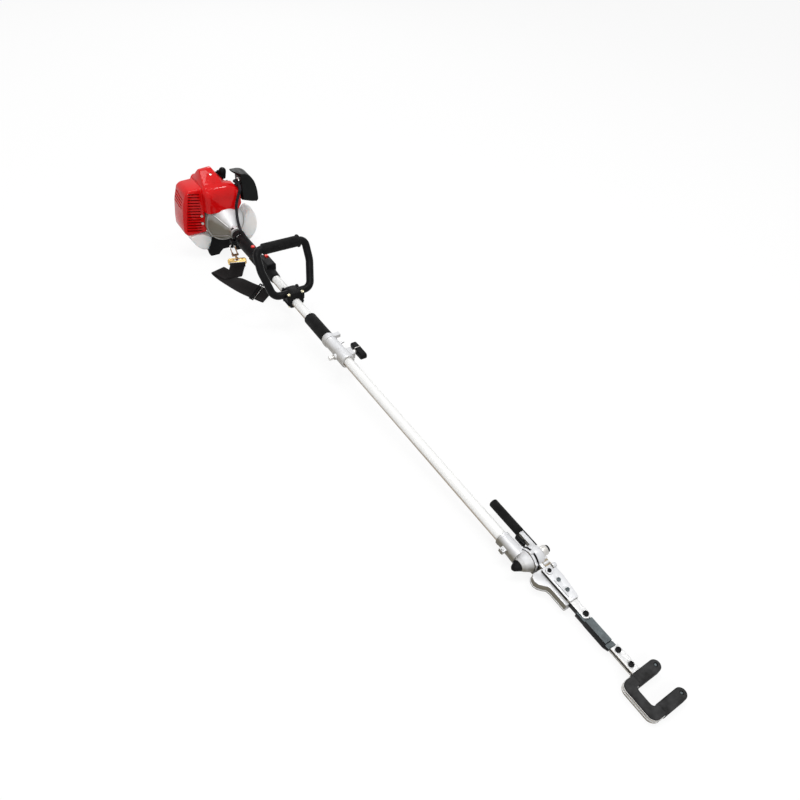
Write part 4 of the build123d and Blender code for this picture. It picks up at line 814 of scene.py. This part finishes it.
def head_casting():
    mesh = solid_copy("head_case")
    round_edges(mesh, 0.7)
    ribs = [bar((x, near, RIB_Z), (x, far, RIB_Z), 3.2, 1.2) for x, near, far in NECK_RIBS]
    # Black strip along the lever's edge, painted shade
    lever_shade = chunk((1367.0, 48.0, 0.0), (41.0, 3.2, 12.9))
    round_edges(lever_shade, 0.4)
    # Brown plate over the neck, painted shade
    neck_shade = chunk((1427.0, 35.0, 7.9), (19.0, 17.0, 0.6))
    parts = [(mesh, 0)] + [(rib, 0) for rib in ribs] + [(lever_shade, 1), (neck_shade, 2)]
    return settle(gathered(parts), "head_casting", [CAST_ALLOY, BLACK_COAT, BROWN_EDGE_AND_SHADE], "head_case")


# Drive block: grey on its top faces and black down its sides as painted shade, its tang tapered towards the hook
# plates
BLOCK_END, TANG_START = 1622.0, 1616.0
TANG = [(1612, 12, -8), (1617, 12, -8), (1626.4, 12, -3.4), (1626.4, 12, 4.2), (1612, 12, 4.2)]


def drive_body():
    mesh = solid_copy("drive_block")
    for vert in mesh.verts:
        if abs(vert.co.x - BLOCK_END) < 0.5:
            vert.co.x = TANG_START
    taper = prism(TANG, (0, 18, 0))
    for part in (mesh, taper):
        round_edges(part, 0.5)
        for face in part.faces:
            # Painted shade: the side faces black, the top faces grey
            face.material_index = 0 if face.normal.z > 0.8 else 1
    return settle(joined([mesh, taper]), "drive_body", [BLOCK_COAT, BLACK_COAT], "drive_block")


# Gear case with black rings as painted shade in the gap to the head and in a groove round its flange, a collar on
# its neck and two lugs
LUG_R = 25.0


def about_pivot(outline):
    mesh = turned(outline, 64, closed=True)
    mesh.transform(Matrix.Translation((PIVOT_X, 0, 0)) @ Matrix.Rotation(math.pi / 2, 4, "Z"))
    return mesh


def gear_casting():
    mesh = solid_copy("gear_case")
    round_edges(mesh, 0.6)
    gap_shade_ring = about_pivot([(13.8, 24.0), (13.8, 26.4), (18.0, 26.4), (18.0, 24.0)])
    groove_shade_ring = about_pivot([(6.8, 23.5), (6.8, 25.3), (7.4, 25.7), (8.2, 25.7), (8.2, 23.5)])
    collar = turned([(1334, 13.4), (1334, 16.2), (1334.8, 17), (1340.2, 17), (1341, 16.2), (1341, 15.6)], 64)
    parts = [(mesh, 0), (gap_shade_ring, 1), (groove_shade_ring, 1), (collar, 0)]
    for lug in (30, 150):
        x, z = PIVOT_X + LUG_R * math.cos(math.radians(lug)), LUG_R * math.sin(math.radians(lug))
        parts.append((bar((x, 7, z), (x, 13.4, z), 4.4, 0.8), 0))
    return settle(gathered(parts), "gear_casting", [CAST_ALLOY, BLACK_MOULDING], "gear_case")


# Crank cover with a corner eye, black as painted shade in the eye's hole and a scribed line, and a black sheet
# along its side wall as painted shade
COVER_EYE_X, COVER_EYE_Z = 1443.5, 12.5


def crank_cover():
    mesh = solid_copy("head_cover")
    round_edges(mesh, 0.9, 3)
    eye = bar((COVER_EYE_X, 36.5, COVER_EYE_Z), (COVER_EYE_X, 46.5, COVER_EYE_Z), 5.0, 1.0)
    eye_hole_shade = bar((COVER_EYE_X, 46.0, COVER_EYE_Z), (COVER_EYE_X, 46.9, COVER_EYE_Z), 2.6, 0.3)
    groove_shade_line = chunk((1490.0, 18.1, 12.0), (42.0, 0.9, 0.3))
    # Black sheet on the cover's side wall, painted shade
    joint = chunk((1477.0, 12.9, 9.0), (72.0, 0.5, 4.6))
    parts = [(mesh, 0), (eye, 0), (eye_hole_shade, 1), (groove_shade_line, 1), (joint, 1)]
    return settle(gathered(parts), "crank_cover", [CAST_ALLOY, BLACK_COAT], "head_cover")


shroud_shell()
plug_boot()
clamp_saddle()
clamp_keeper()
clamp_wing()
pull_grip()
head_casting()
drive_body()
gear_casting()
crank_cover()
guard_box()
clutch_bell()
tank_body()
air_cover()

# Hook and strap eye, in the tool's millimetres
HOOK_X0, HOOK_X1 = 1682.0, 1762.0
HOOK_SPINE_Y, HOOK_TIP_Y = -21.0, 71.0
PRONG = 21.0
TOP_PLATE, LOW_PLATE = 4.5, -3.5
PLATE_T = 3.0
PAD_T = 5.0
PAD_TOP, PAD_LOW = TOP_PLATE + PLATE_T + PAD_T, LOW_PLATE - PAD_T
PAD_TRIM = 0.8
EYE = Vector((12.0, -25.0, -26.0))
SLIDE_AT = Vector((206.7, -31.0, -86.0))
SLIDE_WAY = Vector((0.929, 0.370, 0.0))

# Carried-over solids with their edges rounded, in millimetres
SOFTENED = [
    (RED_SHELL, {"starter_housing": 0.8}),
    (CAST_ALLOY, {"crankcase": 0.5, "cylinder": 0.3}),
    (CLAMP_ALLOY, {"coupling_body": 0.6}),
    (POLE_COAT, {"upper_tube": 0.3, "lower_tube": 0.3}),
    (BLACK_MOULDING, {"tank_stand": 0.8, "throttle_grip": 0.6, "nose_cap": 0.8, "fuel_cap": 0.6,
                      "throttle_trigger": 0.8, "choke_lever": 0.4}),
    (BLACK_COAT, {"loop_handle": 0.3, "muffler": 0.6, "hook_bolts": 0.4, "hanger_clamp": 0.5,
                  "tilt_latch": 0.5}),
    (PLAIN_STEEL, {"lock_pin": 0.4, "spark_plug": 0.3}),
    (WORN_COPPER, {"snap_gate": 0.2}),
    (RED_BUTTON, {"stop_switch": 0.5, "throttle_lock": 1.0}),
]
for finish, nodes in SOFTENED:
    for node, width in nodes.items():
        softened(node, finish, width)


# Which finish each face of a piece takes, from its middle
# Painted shade: black on the slide bars below the top strip
def under_top_strip(middle):
    return middle.z < TOP_PLATE - 0.01


def plate_edge(middle):
    levels = (LOW_PLATE, LOW_PLATE + PLATE_T, TOP_PLATE, TOP_PLATE + PLATE_T)
    return all(abs(middle.z - level) > 0.2 for level in levels)


def filter_side(middle):
    return middle.y > 61.0


# Steel by the guard, dark at the clamp's back pair, yellow at its front pair
def screw_finish(middle):
    if middle.x < -60.0:
        return 1
    return 2 if middle.x < CLAMP_X else 0


# Brass at the hanging buckle, bright steel on the adjuster's outer bar and black as painted shade on the rest of
# it
def buckle_finish(middle):
    if middle.x < 150.0:
        return 0
    return 1 if (middle - SLIDE_AT).dot(SLIDE_WAY) > 4.5 else 2


def round_the_eye(middle):
    return (middle - EYE).length < 13.0


# Black on the pivot's end and the corner screw, grey as painted shade for their recesses on the other cover
# screws, steel between
def head_screw_finish(middle):
    if middle.y > 59.5 or (middle.x < 1460.0 and middle.y < 40.0):
        return 1
    return 2 if middle.x > 1460.0 else 0


toned("carburettor", [CAST_ALLOY, BLACK_MOULDING], 0.4, filter_side)
toned("slide_bars", [MILLED_ALLOY, BLACK_COAT], 0.3, under_top_strip)
toned("hook_plates", [MILLED_ALLOY, BROWN_EDGE_AND_SHADE], 0.3, plate_edge)
screws = many_toned("fixing_screws", [ZINC_YELLOW, PLAIN_STEEL, BLACK_COAT], 0.4, screw_finish)
for vert in screws[0].verts:
    if vert.co.x > 0.0 and vert.co.z > CLAMP_BOSS:
        vert.co.z -= SCREW_SINK
settle(*screws)
toned("strap_buckles", [WORN_BRASS, PLAIN_STEEL, BLACK_COAT], 0.3, buckle_finish)
toned("snap_hook", [WORN_COPPER, PLAIN_STEEL], 0.3, round_the_eye)
toned("head_screws", [PLAIN_STEEL, BLACK_COAT, BLOCK_COAT], 0.4, head_screw_finish)

# Inner solids and the loom keep their own meshes
KEPT = [
    (CAST_ALLOY, ["piston"]),
    (BLACK_MOULDING, ["starter_pulley"]),
    (PLAIN_STEEL, ["crankshaft", "flywheel", "connecting_rod", "upper_drive_shaft", "lower_drive_shaft",
                   "idler_gear", "head_shaft", "crank_gear", "link"]),
    (LOOM_SLEEVE, ["throttle_cable"]),
]
for finish, nodes in KEPT:
    for node in nodes:
        data = NODES[node].data
        data.materials.clear()
        data.materials.append(finish)

# Foam sleeves
FOAM_ROUND = 3.0


# Sleeve outline from one end to the other, its rims rounded
def sleeve_outline(start, end, bore, radius):
    rim = FOAM_ROUND
    turn = [math.radians(angle) for angle in (90, 67, 45, 22, 0)]
    back = [(start + rim - rim * math.sin(a), radius - rim + rim * math.cos(a)) for a in turn]
    front = [(end - rim + rim * math.sin(a), radius - rim + rim * math.cos(a)) for a in reversed(turn)]
    return [(start, bore)] + back + front + [(end, bore)]


def shaft_foam():
    mesh = turned(sleeve_outline(495.0, 592.0, 13.1, 18.0), closed=True)
    return settle(mesh, "shaft_grip_foam", [FOAM_SLEEVE], "shaft_grip")


LOOP_UP = Vector((-0.5, 0.0, 1.0)).normalized()
LOOP_FOOT = Vector((393.0, 0.0, 19.0))
LOOP_TOP = LOOP_FOOT + LOOP_UP * 139.0


def loop_foam():
    outline = sleeve_outline(-60.0, 46.0, 11.1, 15.5)
    collar = [(46.0, 17.0), (47.0, 18.0), (50.0, 18.0), (51.0, 17.0), (51.0, 11.1)]
    mesh = turned(outline[:-2] + collar, closed=True)
    mesh.transform(Matrix.Translation(LOOP_TOP) @ Matrix.Rotation(math.pi / 2, 4, "Z"))
    return settle(mesh, "loop_grip_foam", [FOAM_SLEEVE], "loop_grip")


def lever_foam():
    outline = sleeve_outline(1253.0, 1346.0, 6.1, 10.0)
    mesh = turned([(1253.0, 0.0)] + outline[1:] + [(1262.0, 6.1), (1262.0, 0.0)])
    mesh.transform(Matrix.Translation((0.0, 42.0, 0.0)))
    return settle(mesh, "lever_grip_foam", [FOAM_SLEEVE], "lever_grip")


for foam in (shaft_foam(), loop_foam(), lever_foam()):
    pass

# Hook pads: a flat moulding on each plate, rounded over, and a boot round each prong
BOOT_FOOT_Y = 6.0
TIP_BEND = PRONG / 2 - PAD_TRIM
HOOK_PAD_BENDS = [TIP_BEND, 15.2, 15.2, TIP_BEND, TIP_BEND, 7.8, 7.8, TIP_BEND]


def hook_pad(level, rise):
    left, right = HOOK_X0 + PAD_TRIM, HOOK_X1 - PAD_TRIM
    near, far = HOOK_SPINE_Y + PAD_TRIM, HOOK_TIP_Y - PAD_TRIM
    inner_left, inner_right = HOOK_X0 + PRONG - PAD_TRIM, HOOK_X1 - PRONG + PAD_TRIM
    crotch = HOOK_SPINE_Y + PRONG - PAD_TRIM
    corners = [(left, far), (left, near), (right, near), (right, far), (inner_right, far),
               (inner_right, crotch), (inner_left, crotch), (inner_left, far)]
    mesh = prism(in_plan(rounded_corners(corners, HOOK_PAD_BENDS), level), (0, 0, rise))
    bmesh.ops.remove_doubles(mesh, verts=mesh.verts, dist=0.01)
    rim = [edge for edge in mesh.edges if all(abs(vert.co.z - level - rise) < 0.01 for vert in edge.verts)]
    bevel(mesh, rim, 3.6, 5, clamp=False)
    return mesh


# Boot round one prong, wider than the plates it covers
def prong_boot(x):
    half = PRONG / 2 + 1.0
    tip = HOOK_TIP_Y + 1.0
    corners = [(x - half, tip), (x - half, BOOT_FOOT_Y), (x + half, BOOT_FOOT_Y), (x + half, tip)]
    outline = rounded_corners(corners, [half, 3.0, 3.0, half])
    mesh = prism(in_plan(outline, PAD_LOW - 0.4), (0, 0, PAD_TOP - PAD_LOW + 0.9))
    bmesh.ops.remove_doubles(mesh, verts=mesh.verts, dist=0.01)
    rims = [edge for edge in mesh.edges if abs(edge.verts[0].co.z - edge.verts[1].co.z) < 0.01]
    bevel(mesh, rims, 4.6, 5, clamp=False)
    return mesh


# Upright round at a prong's tip, from inside the rubber to a height above it
def tip_hole(x, radius, above):
    y = HOOK_TIP_Y - 10
    return bar((x, y, PAD_TOP - 2.0), (x, y, PAD_TOP + above), radius, 0.3)


def hook_rubber():
    upper = hook_pad(TOP_PLATE + PLATE_T, PAD_T)
    parts = [(hook_pad(LOW_PLATE, -PAD_T), 0)]
    for x in (HOOK_X0 + PRONG / 2, HOOK_X1 - PRONG / 2):
        upper = carved(upper, tip_hole(x, 4.0, 4.0))
        parts.append((carved(prong_boot(x), tip_hole(x, 4.0, 4.0)), 0))
        parts.append((tip_hole(x, 2.4, -0.6), 1))
    parts.append((upper, 0))
    mesh = gathered(parts)
    return settle(mesh, "hook_rubber", [PAD_RUBBER, BLOCK_COAT], "hook_pads", crease=math.radians(50))


hook_rubber()

# Webbing strap: down from the buckle bar, folded back on the floor and out along it
WEB_W = 49.0
WEB_T = 2.0
WEB_LIFT = 1.5
STAND_X, STAND_Z = -92.0, -116.0
DOWN = Vector((0.753, 0.0, -0.658))
BAR_SIDE = Vector((0.28, 0.96, 0.0)).normalized()
BUCKLE_DOWN = Vector((0.607, -0.177, -0.775)).normalized()
BUCKLE_OUT = BUCKLE_DOWN.cross(BAR_SIDE)
BAR_AT = EYE + DOWN * 47.0 + BUCKLE_DOWN * 17.0
FOLD = Vector((17.0, -82.0, 0.0))
FLOOR_WAY = Vector((0.9595, 0.282, 0.0)).normalized()
FOLD_SIDE = Vector((-0.282, 0.9595, 0.0)).normalized()
ROUND_BAR = [(10, -3.0), (5, -4.4), (0, -4.6), (-3.25, -3.25), (-4.6, 0), (-3.25, 3.25), (0, 4.6), (5, 4.4)]
HANGING = [(65.5, -36.0, 25.5, 0.28), (74.5, -45.0, 13.5, 0.28), (81.0, -50.5, 8.2, 0.26),
           (82.5, -54.5, 5.8, 0.2), (76.5, -59.0, 5.0, 0.05), (60.0, -65.5, 6.2, -0.18),
           (36.0, -75.5, 10.2, -0.28)]
FOLDED = [(8, 11.6), (1.5, 10.2), (-2.2, 6.6), (1.5, 3.0), (8, 1.7)]
FLOOR_RUN = [(58, -101, 16.4, 0), (98, -91.5, 16.4, 2), (124, -85, 15.7, 18), (150, -78, 16.3, 26),
             (185, -66, 19.3, 28), (215, -51, 21.7, 28), (255, -33, 21.7, 22)]
ACROSS_WEB = [-1.0, -0.94, -0.5, 0.0, 0.5, 0.94, 1.0]


def over_floor(x, y, height):
    return Vector((x, y, STAND_Z + FLOOR_SLOPE * (x - STAND_X) + height))


# Middle of the strap and the way across it, station by station
def strap_stations():
    stations = [(BAR_AT + BUCKLE_DOWN * fall + BUCKLE_OUT * lift, BAR_SIDE) for fall, lift in ROUND_BAR]
    for x, y, height, side in HANGING:
        stations.append((over_floor(x, y, height), Vector((side, math.sqrt(1 - side * side), 0.0))))
    for reach, height in FOLDED:
        spot = FOLD + FLOOR_WAY * reach
        stations.append((over_floor(spot.x, spot.y, height), FOLD_SIDE))
    for x, y, turn, lean in FLOOR_RUN:
        level, way = math.cos(math.radians(lean)), math.radians(turn)
        side = Vector((-level * math.sin(way), level * math.cos(way), math.sin(math.radians(lean))))
        stations.append((over_floor(x, y, WEB_LIFT) + side * (WEB_W / 2), side))
    return stations


def strap_webbing():
    stations = strap_stations()
    lengths = [0.0]
    for before, after in zip(stations, stations[1:]):
        lengths.append(lengths[-1] + (after[0] - before[0]).length)
    mesh = bmesh.new()
    bmesh.ops.create_grid(mesh, x_segments=len(stations) - 1, y_segments=len(ACROSS_WEB) - 1, size=1.0)
    lie = mesh.loops.layers.uv.new("weave")
    columns = sorted(mesh.verts, key=lambda vert: (round(vert.co.x, 4), round(vert.co.y, 4)))
    place = {}
    for order, vert in enumerate(columns):
        station, column = divmod(order, len(ACROSS_WEB))
        centre, side = stations[station]
        vert.co = centre + side * (ACROSS_WEB[column] * WEB_W / 2)
        place[vert] = (ACROSS_WEB[column] * WEB_W / 2 * MM, lengths[station] * MM)
    for face in mesh.faces:
        for loop in face.loops:
            loop[lie].uv = place[loop.vert]
    bmesh.ops.recalc_face_normals(mesh, faces=mesh.faces)
    piece = settle(mesh, "strap_webbing", [WEBBING_WEAVE], "strap")
    thick = piece.modifiers.new("thickness", "SOLIDIFY")
    thick.thickness = WEB_T * MM
    thick.offset = 0.0
    subdivide(piece)
    return piece


strap_webbing()


# Stage: pale floor, white world and soft studio light
FLOOR_GLOW = 0.88
WORLD_LIGHT = 0.42
# Name, place, target, size and power of each lamp
LAMPS = [
    ("key_lamp", (0.3, -0.2, 4.8), (0.5, 0.0, 0.1), 2.4, 92.0),
    ("spark_lamp", (2.2, -1.8, 3.0), (0.0, 0.0, 0.2), 0.4, 16.0),
    ("edge_lamp", (1.6, 1.3, 3.6), (0.0, 0.0, 0.2), 0.6, 26.0),
    ("front_lamp", (7.0, -2.6, 4.4), (0.3, 0.0, 0.1), 3.0, 190.0),
    ("sheen_lamp", (-3.2, 1.6, 2.3), (0.3, 0.0, 0.1), 1.4, 22.0),
]


# One for a ray from the camera or one that is mirrored or let through, nought for light on the object
def seen_or_mirrored(finish):
    rays = add_node(finish, "ShaderNodeLightPath").outputs
    seen = rays["Is Camera Ray"]
    for kind in ("Is Glossy Ray", "Is Transmission Ray"):
        either = add_node(finish, "ShaderNodeMath", operation="MAXIMUM")
        wire(finish, seen, either.inputs[0])
        wire(finish, rays[kind], either.inputs[1])
        seen = either.outputs["Value"]
    return seen


def pale_floor():
    mesh = bmesh.new()
    bmesh.ops.create_grid(mesh, x_segments=1, y_segments=1, size=40.0)
    data = bpy.data.meshes.new("floor")
    mesh.to_mesh(data)
    mesh.free()
    floor = bpy.data.objects.new("floor", data)
    bpy.context.scene.collection.objects.link(floor)
    finish, shader = new_finish("pale_floor", roughness=0.9)
    glow = add_node(finish, "ShaderNodeEmission")
    seen = seen_or_mirrored(finish)
    share = add_node(finish, "ShaderNodeMath", operation="MULTIPLY")
    share.inputs[1].default_value = FLOOR_GLOW
    tone = add_node(finish, "ShaderNodeMix", data_type="RGBA")
    tone.inputs["A"].default_value = (0.45, 0.44, 0.42, 1.0)
    tone.inputs["B"].default_value = (0.92, 0.92, 0.92, 1.0)
    mix = add_node(finish, "ShaderNodeMixShader")
    wire(finish, seen, share.inputs[0])
    wire(finish, seen, tone.inputs["Factor"])
    wire(finish, tone.outputs["Result"], shader.inputs["Base Color"])
    wire(finish, share.outputs["Value"], mix.inputs["Fac"])
    wire(finish, shader.outputs["BSDF"], mix.inputs[1])
    wire(finish, glow.outputs["Emission"], mix.inputs[2])
    wire(finish, mix.outputs["Shader"], finish.node_tree.nodes["Material Output"].inputs["Surface"])
    data.materials.append(finish)


def studio_lamp(name, at, target, size, power):
    data = bpy.data.lights.new(name, "AREA")
    data.shape = "DISK"
    data.size = size
    data.energy = power
    lamp = bpy.data.objects.new(name, data)
    bpy.context.scene.collection.objects.link(lamp)
    lamp.location = at
    lamp.rotation_mode = "QUATERNION"
    lamp.rotation_quaternion = (Vector(target) - Vector(at)).to_track_quat("-Z", "Y")


def white_world():
    world = bpy.data.worlds.new("white_world")
    bpy.context.scene.world = world
    world.use_nodes = True
    background = world.node_tree.nodes["Background"]
    background.inputs["Color"].default_value = (1.0, 1.0, 1.0, 1.0)
    strength = add_node(world, "ShaderNodeMapRange")
    strength.inputs["To Min"].default_value = WORLD_LIGHT
    strength.inputs["To Max"].default_value = 1.0
    wire(world, seen_or_mirrored(world), strength.inputs["Value"])
    wire(world, strength.outputs["Result"], background.inputs["Strength"])


pale_floor()
white_world()
for lamp in LAMPS:
    studio_lamp(*lamp)
bpy.context.scene.view_settings.view_transform = "Standard"
